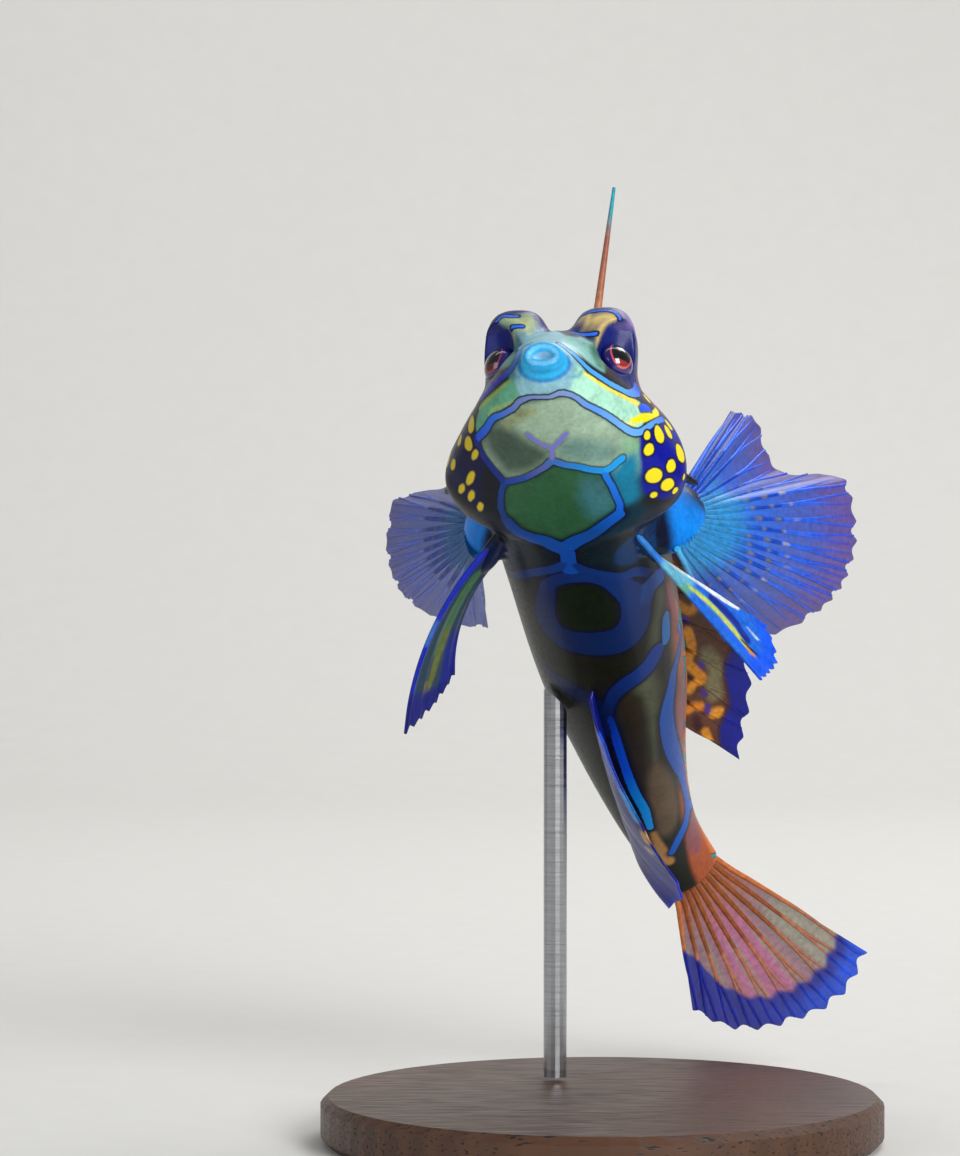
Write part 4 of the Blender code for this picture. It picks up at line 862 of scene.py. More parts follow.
from_belly = np.abs(degrees)
trunk_start = rise_between(station, 20.0, 23.5)
crown = rise_between(from_belly, 100, 118) * (1 - rise_between(station, 13.0, 16.0))
on_top = crown * rise_between(above, 5.4, 6.3) * rise_between(station, 4.4, 5.2)
snout_end = np.interp(degrees, *np.array(SNOUT_EDGE, float).T)
colours = coats(
    # partly painted shade: the first coat is the belly's own dark olive, painted near-black because the
    # underside lies in shade
    plain_colour("#14160E", len(skin_points)),
    ("#A4502C", rise_between(from_belly, 66, 84) * trunk_start),
    # painted shade: near-black navy on the shoulders behind the head, where the hollow under the gill cover
    # lies in shadow
    ("#020A26", rise_between(from_belly, 44, 58) * rise_between(station, 10.5, 12.5) * (1 - trunk_start)),
    ("#14206E", crown * rise_between(station, 3.6, 4.6)),
    ("#8E7CB0", on_top * rise_between(across, 0.5, 1.5)),
    # painted shade: the top of the right turret is a darker copy of the left one's mauve
    ("#3A3260", on_top * rise_between(-across, 0.5, 1.5)),
    ("#8ABCCA", fade(station - snout_end, 0.35)),
)
for _, colour, soft, corners in GROUNDS:
    gap = patch_gap(station, girth_place, [(s, d * GIRTH) for s, d in corners])
    colours = coats(colours, (colour, fade(gap, soft)))
for _, colour, soft, rows in STROKES:
    gap, _ = stroke_gap(skin_points, drawn_through([(*on_skin(s, d), half) for s, d, half in rows]))
    colours = coats(colours, (colour, fade(gap, soft)))

line_gap, line_edge = np.full(len(skin_points), FAR), np.ones(len(skin_points))
line_colours = plain_colour("#1565D0", len(skin_points))
for _, tints, edge, rows in LINES:
    gap, share = stroke_gap(skin_points, drawn_through([(*on_skin(s, d), half) for s, d, half in rows]))
    if rows[0][0] > HEAD_END:  # the lines on the trunk have a soft navy border besides
        colours = coats(colours, ("#020A24", fade(gap - 0.22, 0.26) * 0.85))
    nearer = gap < line_gap
    tints = np.array([linear(tint)[:3] for tint in tints])
    drawn = np.stack([np.interp(share, np.linspace(0, 1, len(tints)), column) for column in tints.T], 1)
    line_colours[nearer] = drawn[nearer]
    line_edge[nearer] = edge
    line_gap[nearer] = gap[nearer]

spot_gap = np.full(len(skin_points), FAR)
spot_colours = plain_colour("#F5DF1E", len(skin_points))
for colour, rows in SPOTS:
    for s, d, half_length, half_width in rows:
        centre = on_skin(s, d)
        normal = unit(centre - place(s, 0.0, float(read(SECTIONS, 4, s))))
        back = spine_frame(np.array(s))[0]
        back = unit(back - normal * np.dot(back, normal))
        off = skin_points - centre
        near = np.nonzero((off**2).sum(1) < 4.0)[0]
        x, y = off[near] @ back / half_length, off[near] @ np.cross(normal, back) / half_width
        gap = (np.hypot(x, y) - 1) * min(half_length, half_width)
        nearer = gap < spot_gap[near]
        spot_gap[near[nearer]] = gap[nearer]
        spot_colours[near[nearer]] = linear(colour)[:3]


def size_in(points, middle, axes, radii):
    """How far out points lie in an ellipsoid: less than 1 inside it, and 1 on its surface."""
    return np.sqrt(sum(((points - middle) @ axis / radius) ** 2 for axis, radius in zip(axes, radii)))


# The stubs of the pectoral fins are bright blue, with no bands, and the roots of the pelvic fins are dark:
# their own deep blue with painted shade under the throat, darker on the right side
stub_share = np.zeros(len(skin_points))
for side in (1, -1):
    root, *axes = stub_axes(side)
    size = size_in(skin_points, root, axes, (LOBE_REACH, LOBE_HALF_DEPTH, LOBE_HALF_WIDTH))
    outward = rise_between((skin_points - root) @ axes[0] / LOBE_REACH, -0.2, 0.15)
    stub_share = np.maximum(stub_share, (1 - rise_between(size, 1.02, 1.3)) * outward)
colours = coats(colours, ("#0880E4", stub_share))
for side, root_colour_and_shade in ((1, "#05305E"), (-1, "#031640")):
    middle, *axes = pelvic_root_axes(side)
    size = size_in(skin_points, middle, axes, PELVIC_ROOT_RADII)
    colours = coats(colours, (root_colour_and_shade, 1 - rise_between(size, 1.02, 1.3)))

# The lips are cyan round a pale opening, with a dark ring outside, a finer one within it and a light one
# inside that. Each ring has its place as a share of the lips' size, its half width, colour and strength.
LIP_PAINT_RINGS = ((1.08, 0.07, "#1668B4", 0.7), (0.78, 0.06, "#1E84CC", 0.5), (0.60, 0.10, "#7CC8F0", 0.8))
mouth_off = skin_points - place(-0.2, 0.0, 0.0)
_, face_left, face_up = spine_frame(np.array(0.0))
mouth_x, mouth_y = mouth_off @ face_left, mouth_off @ face_up
near_mouth = (mouth_off**2).sum(1) < 9.0
lip_size = np.hypot(mouth_x / 1.42, (mouth_y + 0.1) / 1.08)
opening = np.hypot(mouth_x / 0.64, (mouth_y + 0.04) / 0.34)
colours = coats(
    colours,
    ("#2FB4EE", near_mouth * (1 - rise_between(lip_size, 1.0, 1.22))),
    *((colour, near_mouth * fade(np.abs(lip_size - size) - half, 0.05) * strength)
      for size, half, colour, strength in LIP_PAINT_RINGS),
    ("#A6D0E4", near_mouth * (1 - rise_between(opening, 0.85, 1.1))),
)

# Where the flank's bands show: on the sides and the back, but not at the tail's root, and not on the
# shoulders, which keep their painted shade
pattern = rise_between(from_belly, 84, 98) * rise_between(station, 20.5, 24)
pattern = np.maximum(pattern, rise_between(from_belly, 112, 128) * rise_between(station, 6.5, 9))
bare = rise_between(station, 12.0, 13.5) * (1 - rise_between(station, 20.0, 23.0))
bare = bare * (1 - rise_between(from_belly, 128, 142))
bare = np.maximum(bare, rise_between(station, 43.0, 46.0) * (1 - rise_between(from_belly, 135, 155)))

for name, values in (("ground", colours), ("line_gap", np.clip(line_gap, -2, 2)), ("line_edge", line_edge),
                     ("line_colour", line_colours), ("spot_gap", np.clip(spot_gap, -2, 2)),
                     ("spot_colour", spot_colours), ("pattern", pattern * (1 - stub_share) * (1 - bare))):
    store(skin.data, name, values)

# Painted skin under a clear coat of slime: the paint is a soft satin, and the coat gives small sharp
# highlights. The pigment lies in grains of about 0.3 mm, and pores 0.15 mm apart roughen the surface.
GRAIN_CELLS, CLOUD_CELLS, SWAY_CELLS, SKIN_PORE_CELLS = 3300.0, 700.0, 210.0, 6600.0  # to the metre
painted_skin, tree, flesh = start_finish("painted_skin_under_slime")
at = add(tree, "ShaderNodeTexCoord").outputs["Object"]
ground, line_colour, spot_colour = (
    add(tree, "ShaderNodeAttribute", attribute_name=name).outputs["Color"]
    for name in ("ground", "line_colour", "spot_colour"))
pattern_share, line_at, edge_strength, spot_at = (
    add(tree, "ShaderNodeAttribute", attribute_name=name).outputs["Fac"]
    for name in ("pattern", "line_gap", "line_edge", "spot_gap"))
grains = add(tree, "ShaderNodeTexNoise", {"Vector": at, "Scale": GRAIN_CELLS, "Detail": 3.0,
                                          "Roughness": 0.6})
clouds = add(tree, "ShaderNodeTexNoise", {"Vector": at, "Scale": CLOUD_CELLS, "Detail": 3.0})
mottle = add(tree, "ShaderNodeMath", {0: grains, 1: clouds}, operation="ADD")
value = add(tree, "ShaderNodeMapRange", {"Value": mottle, "From Min": 0.6, "From Max": 1.4, "To Min": 0.72,
                                         "To Max": 1.28})
shaded = add(tree, "ShaderNodeVectorMath", {0: ground, "Scale": value}, operation="SCALE")
# the flank's bands: level lines of a slow noise, so that they close into loops as on the living fish
sway = add(tree, "ShaderNodeTexNoise", {"Vector": at, "Scale": SWAY_CELLS, "Detail": 1.0, "Roughness": 0.4,
                                        "Distortion": 0.6})
steps_of_sway = add(tree, "ShaderNodeMath", {0: sway, 1: 8.0}, operation="MULTIPLY")
band = add(tree, "ShaderNodeMath", {0: steps_of_sway, 1: 0.5}, operation="PINGPONG")
flank_ground = add(tree, "ShaderNodeMixRGB", {"Fac": clouds, "Color1": linear("#C2461C"),
                                              "Color2": linear("#E08434")})
band_colour = add(tree, "ShaderNodeMixRGB", {"Fac": grains, "Color1": linear("#0F7FA0"),
                                             "Color2": linear("#2AA87E")})
banded = add(tree, "ShaderNodeMixRGB", {"Fac": pattern_share, "Color1": shaded, "Color2": flank_ground})
for outer, inner, tint in ((0.24, 0.20, linear("#0C1F4A")), (0.17, 0.13, band_colour)):
    in_band = add(tree, "ShaderNodeMapRange", {"Value": band, "From Min": outer, "From Max": inner})
    shown = add(tree, "ShaderNodeMath", {0: in_band, 1: pattern_share}, operation="MULTIPLY")
    banded = add(tree, "ShaderNodeMixRGB", {"Fac": shown, "Color1": banded, "Color2": tint})
# the hand-drawn lines and spots, with dark edges, which waver by a few hundredths of a millimetre
waver = add(tree, "ShaderNodeMapRange", {"Value": grains, "To Min": -0.05, "To Max": 0.05})
line_at, spot_at = (
    add(tree, "ShaderNodeMath", {0: gap, 1: waver}, operation="ADD") for gap in (line_at, spot_at))
edge_share = add(tree, "ShaderNodeMapRange", {"Value": line_at, "From Min": 0.14, "From Max": 0.06})
edge_on = add(tree, "ShaderNodeMath", {0: edge_share, 1: edge_strength}, operation="MULTIPLY")
line_share = add(tree, "ShaderNodeMapRange", {"Value": line_at, "From Min": 0.02, "From Max": -0.04})
spot_edge = add(tree, "ShaderNodeMapRange", {"Value": spot_at, "From Min": 0.13, "From Max": 0.06})
spot_share = add(tree, "ShaderNodeMapRange", {"Value": spot_at, "From Min": 0.02, "From Max": -0.06})
painted = banded
for share, tint in ((edge_on, linear("#03082C")), (line_share, line_colour), (spot_edge, linear("#050838")),
                    (spot_share, spot_colour)):
    painted = add(tree, "ShaderNodeMixRGB", {"Fac": share, "Color1": painted, "Color2": tint})
satin = add(tree, "ShaderNodeMapRange", {"Value": grains, "From Min": 0.3, "From Max": 0.7, "To Min": 0.3,
                                         "To Max": 0.46})
pores = add(tree, "ShaderNodeTexNoise", {"Vector": at, "Scale": SKIN_PORE_CELLS, "Detail": 2.0})
uneven = add(tree, "ShaderNodeBump", {"Height": pores, "Strength": 0.25, "Distance": 0.00004})
wire(tree, flesh, {"Base Color": painted, "Roughness": satin, "IOR": 1.38, "Specular IOR Level": 0.25,
                   "Coat Weight": 0.12, "Coat Roughness": 0.12, "Normal": uneven})
skin.data.materials.clear()
skin.data.materials.append(painted_skin)
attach(skin, "root")
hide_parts("head", "lips", "trunk", "tail_stem", "pectoral_base_left", "pectoral_base_right")


# Eyes
# Each eye is a flattened glass ball, painted from behind: a wide black pupil, a thin red ring that is broader
# below, and dark blue round it. It is pushed into its socket in the turret, and the lid grips its edge.
PUPIL_HALF_WIDTH, PUPIL_HALF_HEIGHT, PUPIL_RISE = 0.56, 0.68, 0.16
PUPIL_TILT = 18.0  # degrees by which its top leans out from the middle of the face
RING_HALF_WIDTH, RING_HALF_HEIGHT, RING_WIDTH = 0.72, 0.92, 0.09
# painted shade: the right eye lies in shadow, so its red is painted duller
RIGHT_EYE_LIGHT = 0.4  # the red of the right eye is painted duller than the left one's
BALL_RINGS, BALL_SIDES = 90, 140

# Paint behind clear glass: the colours lie deep under one smooth surface, which gives a small hard highlight.
FLECK_CELLS = 4200.0  # to the metre: flecks in the paint about a quarter of a millimetre apart
glass, tree, lens = start_finish("painted_glass_eye")
pupil_gap, ring_gap, below, within, lit = (
    add(tree, "ShaderNodeAttribute", attribute_name=name).outputs["Fac"]
    for name in ("pupil_gap", "ring_gap", "below", "within", "lit"))
eye_place = add(tree, "ShaderNodeTexCoord").outputs["Object"]
fleck = add(tree, "ShaderNodeTexNoise", {"Vector": eye_place, "Scale": FLECK_CELLS, "Detail": 2.0})
iris, ember, deep_ember = (
    add(tree, "ShaderNodeMixRGB", {"Fac": fleck, "Color1": linear(dark), "Color2": linear(light)})
    for dark, light in (("#0A0A60", "#2A1470"), ("#C03038", "#F07070"), ("#701818", "#B84030")))
# painted shade: each red is mixed towards near-black by the eye's lit share, which is low on the right eye
ember, deep_ember = (
    add(tree, "ShaderNodeMixRGB", {"Fac": lit, "Color1": linear("#1C0618"), "Color2": red})
    for red in (ember, deep_ember))
crescent = add(tree, "ShaderNodeMapRange", {"Value": below, "From Min": 0.50, "From Max": 0.60})
inner = add(tree, "ShaderNodeMixRGB", {"Fac": crescent, "Color1": linear("#0B0520"), "Color2": deep_ember})
red_ring = add(tree, "ShaderNodeMapRange", {"Value": ring_gap, "From Min": 0.02, "From Max": -0.02})
pupil = add(tree, "ShaderNodeMapRange", {"Value": pupil_gap, "From Min": 0.03, "From Max": -0.01})
for share, tint in ((red_ring, ember), (within, inner), (pupil, linear("#020204"))):
    iris = add(tree, "ShaderNodeMixRGB", {"Fac": share, "Color1": iris, "Color2": tint})
wire(tree, lens, {"Base Color": iris, "Roughness": 0.12, "Coat Weight": 1.0, "Coat Roughness": 0.03})

for side_name, side in SIDES:
    centre, *ball_axes = eye_axes(side, EYE_LOOK)
    eye_ball = ball(centre, ball_axes, EYE_RADII, BALL_RINGS, BALL_SIDES)
    piece = new_piece("eye_of_glass_" + side_name, *eye_ball)
    _, gaze, level_axis, upright = eye_axes(side, EYE_GAZE)
    off = mesh_points(piece.data) - centre
    x, y, front = off @ level_axis, off @ upright, off @ gaze
    spread = np.where(front > 0, 0, 3.0)
    tilt = math.radians(PUPIL_TILT)
    x, y = x * math.cos(tilt) + side * y * math.sin(tilt), y * math.cos(tilt) - side * x * math.sin(tilt)
    pupil_size = np.hypot(x / PUPIL_HALF_WIDTH, (y - PUPIL_RISE) / PUPIL_HALF_HEIGHT)
    ring_size = np.hypot(x / RING_HALF_WIDTH, y / RING_HALF_HEIGHT)
    store(piece.data, "pupil_gap", (pupil_size - 1) * PUPIL_HALF_WIDTH + spread)
    store(piece.data, "ring_gap", np.abs(ring_size - 1) * RING_HALF_WIDTH - RING_WIDTH / 2 + spread)
    store(piece.data, "within", np.where(front > 0, 1 - rise_between(ring_size, 0.90, 0.97), 0))
    store(piece.data, "below", -y)
    store(piece.data, "lit", np.full(len(off), 1.0 if side > 0 else RIGHT_EYE_LIGHT))
    piece.data.materials.append(glass)
    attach(piece, "root")
    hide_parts("eye_" + side_name)


# Pectoral fins
# Each pectoral fin is a broad fan of twenty soft rays behind the gill cover, cast in clear resin and tinted.
# Its rays fork once and stand up as ridges on both faces of a thin web, and their roots sit in the stub.


def smooth_rows(grid, at):
    """Rows of a grid at fractional row numbers, along a smooth curve through the grid's own rows."""
    padded = np.concatenate([[2 * grid[0] - grid[1]], grid, [2 * grid[-1] - grid[-2]]])
    i = np.clip(np.floor(at).astype(int), 0, len(grid) - 2)
    t = (at - i).reshape(-1, *[1] * (grid.ndim - 1))
    return between_four(*(padded[i + k] for k in range(4)), t)


def fin_place(rays, u, v):
    """Points of a fin's middle surface. u counts the rays, and v runs from 0 inside the body to 1 at the
    tips."""
    columns = smooth_rows(rays, u)
    at = v * (rays.shape[1] - 1)
    first, end = 2 * columns[:, :1] - columns[:, 1:2], 2 * columns[:, -1:] - columns[:, -2:-1]
    padded = np.concatenate([first, columns, end], 1)
    i = np.clip(np.floor(at).astype(int), 0, rays.shape[1] - 2)
    return between_four(*(padded[np.arange(len(i)), i + k] for k in range(4)), (at - i)[:, None])


# The tree that grows a fin's rays: it sweeps a round section, thinner towards the tip, along every loose edge
# line of the fin's mesh, and keeps the skin between them as it is.
fin_tree = bpy.data.node_groups.new("fin_rays", "GeometryNodeTree")
for socket_name, kind in (("Fin", "NodeSocketGeometry"), ("Root Radius", "NodeSocketFloat"),
                          ("Tip Radius", "NodeSocketFloat"), ("Sides", "NodeSocketInt"),
                          ("Ray Finish", "NodeSocketMaterial"), ("Web Finish", "NodeSocketMaterial")):
    fin_tree.interface.new_socket(socket_name, in_out="INPUT", socket_type=kind)
fin_tree.interface.new_socket("Fin", in_out="OUTPUT", socket_type="NodeSocketGeometry")
given = add(fin_tree, "NodeGroupInput").outputs
bordering = add(fin_tree, "GeometryNodeInputMeshEdgeNeighbors")
loose = add(fin_tree, "FunctionNodeCompare", {2: bordering, 3: 0}, data_type="INT", operation="EQUAL")
parted = add(fin_tree, "GeometryNodeSeparateGeometry", {"Geometry": given["Fin"], "Selection": loose},
             domain="EDGE")
lines = add(fin_tree, "GeometryNodeMeshToCurve", {"Mesh": parted.outputs["Selection"]})
reach = add(fin_tree, "GeometryNodeInputNamedAttribute", {"Name": "reach"}, data_type="FLOAT")
thin = add(fin_tree, "ShaderNodeMapRange", {"Value": reach, "To Min": given["Root Radius"],
                                            "To Max": given["Tip Radius"]})
section = add(fin_tree, "GeometryNodeCurvePrimitiveCircle", {"Resolution": given["Sides"], "Radius": 1.0})
swept = add(fin_tree, "GeometryNodeCurveToMesh", {"Curve": lines, "Profile Curve": section, "Scale": thin,
                                                  "Fill Caps": True})
whole = add(fin_tree, "GeometryNodeJoinGeometry")
for shape, finish in ((swept, given["Ray Finish"]), (parted.outputs["Inverted"], given["Web Finish"])):
    finished = add(fin_tree, "GeometryNodeSetMaterial", {"Geometry": shape, "Material": finish})
    wire(fin_tree, whole, {0: finished})
real = add(fin_tree, "GeometryNodeRealizeInstances", {"Geometry": whole})
real = add(fin_tree, "GeometryNodeSetShadeSmooth", {"Geometry": real, "Shade Smooth": True})
add(fin_tree, "NodeGroupOutput", {"Fin": real})


def web_edge(u, count, notch):
    """How far out the skin between the rays reaches: a round lobe for each forked ray."""
    return 1 - notch * np.abs(np.sin(np.pi * np.clip(u, 0, count - 1))) ** 1.5


RAY_POINTS, RAY_SIDES = 46, 8
FORK_SPREAD = 0.25  # how far each branch of a ray leaves its line, as a share of the gap between two rays
RAY_END = 0.995  # a ray ends just inside the edge of the web


def web_faces(rows, columns):
    """Faces of a thin closed sheet: its front, its back, and the rim between them."""
    faces, total = [], rows * columns
    for i in range(rows - 1):
        for j in range(columns - 1):
            a, b = i * columns + j, (i + 1) * columns + j
            faces += [(a, b, b + 1, a + 1), (a + total, a + 1 + total, b + 1 + total, b + total)]
    rim = [(i * columns + j, (i + 1) * columns + j) for i in range(rows - 1) for j in (0, columns - 1)]
    rim = [(a, b) if a % columns == 0 else (b, a) for a, b in rim]
    for i, turned in ((0, True), (rows - 1, False)):
        ends = [(i * columns + j, i * columns + j + 1) for j in range(columns - 1)]
        rim += [(b, a) if turned else (a, b) for a, b in ends]
    return faces + [(a, a + total, b + total, b) for a, b in rim]


def make_fin(name, rays, paint, ray_paint, finishes, replaced, notch, across, along, radii,
             thickness=(0.16, 0.07), fork=0.5, billow=0.1):
    """A fin from its rays. paint and ray_paint take u and v, both from 0 to 1, and points, and give colours.
    notch is the depth of the web's lobes as a share of its length, across and along are the web's cells
    between two rays and its points along one, radii and thickness are those of the rays and the web at root
    and tip, fork is the share of its length where a ray forks, and billow how far the web bulges."""
    count = len(rays)
    columns = np.linspace(0, count - 1, (count - 1) * across + 1)
    u, v = np.meshgrid(columns, np.linspace(0, 1, along), indexing="ij")
    shape = u.shape
    u, v = u.ravel(), v.ravel() * web_edge(u.ravel(), count, notch)
    middle = fin_place(rays, u, v).reshape(*shape, 3)
    normal = np.cross(np.gradient(middle, axis=0), np.gradient(middle, axis=1))
    normal /= np.linalg.norm(normal, axis=2)[..., None] + 1e-12
    wave = np.sin(np.pi * u) ** 2 * np.where(np.floor(u).astype(int) % 2 == 0, 1, -1) * v
    middle += normal * (billow * wave).reshape(*shape, 1)
    half = ((thickness[0] + (thickness[1] - thickness[0]) * v) / 2).reshape(*shape, 1)
    points = [(middle + normal * half).reshape(-1, 3), (middle - normal * half).reshape(-1, 3)]
    web_count = 2 * len(u)
    us, vs, edges, at = [u, u], [v, v], [], web_count
    steps = np.linspace(0.0, 1.0, RAY_POINTS)
    for ray in range(count):
        for turn in (-FORK_SPREAD, FORK_SPREAD):
            if 0 <= ray + turn <= count - 1:
                ray_u = ray + turn * rise_between(steps, fork, 1.0)
                ray_v = steps * web_edge(ray_u, count, notch) * RAY_END
                points.append(fin_place(rays, ray_u, ray_v))
                us.append(ray_u)
                vs.append(ray_v)
                edges += [(at + k, at + k + 1) for k in range(RAY_POINTS - 1)]
                at += RAY_POINTS
    points, u, v = np.concatenate(points), np.concatenate(us) / (count - 1), np.concatenate(vs)
    made = new_piece(name, points, web_faces(*shape), edges)
    web_paint = paint(u[:web_count], v[:web_count], points[:web_count])
    rays_paint = ray_paint(u[web_count:], v[web_count:], points[web_count:])
    store(made.data, "paint", np.concatenate([web_paint, rays_paint]))
    store(made.data, "reach", v)
    growth = made.modifiers.new("rays", "NODES")
    growth.node_group = fin_tree
    sockets = {item.name: item.identifier for item in fin_tree.interface.items_tree if item.in_out == "INPUT"}
    for socket, value in (("Root Radius", radii[0] * MM), ("Tip Radius", radii[1] * MM), ("Sides", RAY_SIDES),
                          ("Ray Finish", finishes[0]), ("Web Finish", finishes[1])):
        growth[sockets[socket]] = value
    applied(made)
    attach(made, "root")
    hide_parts(replaced)


def fin_strokes(colours, points, rays, strokes):
    """Draws strokes on a fin, each a colour, a half width, a softness, and places as share across and v."""
    for colour, half, soft, knots in strokes:
        knots = drawn_through([(a, b, 0.0) for a, b in knots], 0.02)
        line = fin_place(rays, knots[:, 0] * (len(rays) - 1), knots[:, 1])
        gap, _ = stroke_gap(points, np.concatenate([line, np.full((len(line), 1), half)], 1))
        colours = coats(colours, (colour, fade(gap, soft)))
    return colours


SPECK_CELLS = 2600.0  # to the metre: pigment in specks of about 0.4 mm


def fin_finish(name, opacity):
    """Tinted resin that takes its colour from the fin's own paint, with fine specks of darker pigment."""
    made, tree, resin = start_finish(name)
    paint = add(tree, "ShaderNodeAttribute", attribute_name="paint").outputs["Color"]
    at = add(tree, "ShaderNodeTexCoord").outputs["Object"]
    specks = add(tree, "ShaderNodeTexNoise", {"Vector": at, "Scale": SPECK_CELLS, "Detail": 3.0,
                                              "Roughness": 0.6})
    value = add(tree, "ShaderNodeMapRange", {"Value": specks, "From Min": 0.3, "From Max": 0.7,
                                             "To Min": 0.75, "To Max": 1.25})
    tinted = add(tree, "ShaderNodeVectorMath", {0: paint, "Scale": value}, operation="SCALE")
    ripple = add(tree, "ShaderNodeBump", {"Height": specks, "Strength": 0.2, "Distance": 0.00004})
    wire(tree, resin, {"Base Color": tinted, "Roughness": 0.38, "Specular IOR Level": 0.28, "Alpha": opacity,
                       "Coat Weight": 0.12, "Coat Roughness": 0.15, "Normal": ripple})
    return made


# Clear cast resin under the fins' paint: light passes the web a little and catches on the rays' wet ridges.
ray_resin = fin_finish("tinted_resin_rays", opacity=1.0)
web_resin = fin_finish("tinted_resin_web", opacity=0.8)

# From the upper ray to the lower one: share of the way, and which way the ray points in the frame
PECTORAL_AIMS = (
    (0.0, 0.33, 0.78, 0.47), (0.12, 0.4, 0.8, 0.44), (0.25, 0.46, 0.86, 0.15), (0.36, 0.68, 0.72, 0.12),
    (0.5, 0.7, 0.7, -0.07), (0.65, 0.66, 0.72, -0.23), (0.8, 0.56, 0.76, -0.32), (0.9, 0.4, 0.83, -0.39),
    (1.0, 0.24, 0.87, -0.43),
)
# Share of the way, and the ray's length
PECTORAL_LENGTHS = (
    (0.0, 9.4), (0.12, 10.4), (0.25, 11.2), (0.36, 14.0), (0.5, 14.6), (0.8, 15.2), (0.9, 15.4), (1.0, 14.2),
)
PECTORAL_SWEEP = {1: 0.0, -1: 0.3}  # how much further from the camera the rays of each side point
PECTORAL_RAYS = 20
PECTORAL_CURL, PECTORAL_DEPTH = (0.0, 0.06, 0.0), 0.9
FAN_ROOT_ANGLE = 62.0  # degrees up and down from the stub's middle to its first and last ray
SEAT = 0.3  # the rays' roots start this far off the stub in the frame, and are drawn into it here
FAN_POINTS = 8


def fan(count, roots, aims, lengths, curl, depth):
    """Rays spread between the roots and aims, each given as rows of share, x, y, z. Each ray starts depth
    inside the body and bends by the share curl of its length."""
    rays = []
    for share in np.linspace(0, 1, count):
        root = np.array([float(read(roots, k, share)) for k in (1, 2, 3)])
        aim = unit([float(read(aims, k, share)) for k in (1, 2, 3)])
        length = float(read(lengths, 1, share))
        along = np.linspace(0, 1, FAN_POINTS)[1:, None]
        outer = root + aim * length * along + np.array(curl) * length * along**2
        rays.append(np.concatenate([[root - aim * depth], outer]))
    return np.array(rays)


def pectoral_rays(side):
    """The rays of one pectoral fin, with their roots along the rounded end of its stub."""
    root, aim, up, _ = stub_axes(side)
    roots, aims = [], []
    for share in np.linspace(0, 1, 9):
        around = math.radians(FAN_ROOT_ANGLE * (1 - 2 * share))
        reach = (LOBE_REACH + SEAT) * math.cos(around)
        roots.append((share, *(root + aim * reach + up * (LOBE_HALF_DEPTH + SEAT) * math.sin(around))))
    for share, *row in PECTORAL_AIMS:
        row = mirrored(np.array(row), side)
        aims.append((share, row[0], row[1] + PECTORAL_SWEEP[side], row[2]))
    return fan(PECTORAL_RAYS, roots, aims, PECTORAL_LENGTHS, PECTORAL_CURL, PECTORAL_DEPTH)


def pectoral_web(side):
    """The paint of one pectoral fin's web: azure at the root, violet towards the edge, and painted shade of
    deep blue over the right fin."""
    def paint(u, v, points):
        return coats(
            plain_colour("#1C66E0", len(u)),
            ("#3A56BC", rise_between(v, 0.35, 0.6)),
            ("#66489A", rise_between(v, 0.62, 0.92) * 0.85),
            ("#18A4E8", (1 - rise_between(v, 0.08, 0.34)) * 0.9),
            ("#0A58E0", rise_between(u, 0.84, 0.96) * rise_between(v, 0.25, 0.5)),
            ("#1C3C9C", (1 - rise_between(u, 0.02, 0.28)) * 0.8),
            # painted shade: the right fin lies in shadow and is painted a deeper blue
            ("#00349E", 0.0 if side > 0 else 0.65),
        )
    return paint


def pectoral_ray_paint(side):
    """The paint of its rays, with pale tan dashes in the middle third, and painted shade over the right
    fin's.
    """
    def paint(u, v, points):
        dashes = rise_between(np.sin(v * 48 + u * 90), 0.55, 0.9) * rise_between(v, 0.2, 0.3)
        dashes = dashes * (1 - rise_between(v, 0.5, 0.65))
        return coats(
            plain_colour("#1260E8", len(u)),
            ("#4CC0F0", (1 - rise_between(v, 0.12, 0.36)) * 0.85 * rise_between(u, 0.15, 0.3)),
            ("#3644C4", rise_between(v, 0.55, 0.9) * 0.7),
            ("#A8A49C", dashes * rise_between(u, 0.2, 0.3) * 0.8),
            # painted shade: the right fin's rays are painted a deeper blue as it lies in shadow
            ("#0030A0", 0.0 if side > 0 else 0.6),
        )
    return paint


for side_name, side in SIDES:
    make_fin("pectoral_web_" + side_name, pectoral_rays(side), pectoral_web(side), pectoral_ray_paint(side),
             (ray_resin, web_resin), "pectoral_fin_" + side_name, notch=0.035, across=8, along=64,
             radii=(0.2, 0.08))


# Pelvic fins
# The pelvic fins are stiff fans set under the throat, held out and down like a pair of legs. They are cast in
# the same resin, thicker than the others, with eight rays, and painted in stripes of blue, white and yellow.
PELVIC_LENGTHS = {1: ((0.0, 13.9), (0.5, 13.9), (1.0, 11.4)), -1: ((0.0, 15.4), (0.5, 13.0), (1.0, 10.2))}
PELVIC_CURL = {1: (0.0, 0.05, 0.0), -1: (0.28, 0.05, -0.10)}
PELVIC_RAYS, PELVIC_DEPTH = 8, 1.2


def pelvic_rays(side):
    """The eight rays of one pelvic fin."""
    roots = [(share, *end) for share, end in zip((0.0, 1.0), pelvic_roots(side))]
    aims, lengths, curl = PELVIC_AIMS[side], PELVIC_LENGTHS[side], PELVIC_CURL[side]
    return fan(PELVIC_RAYS, roots, aims, lengths, curl, PELVIC_DEPTH)


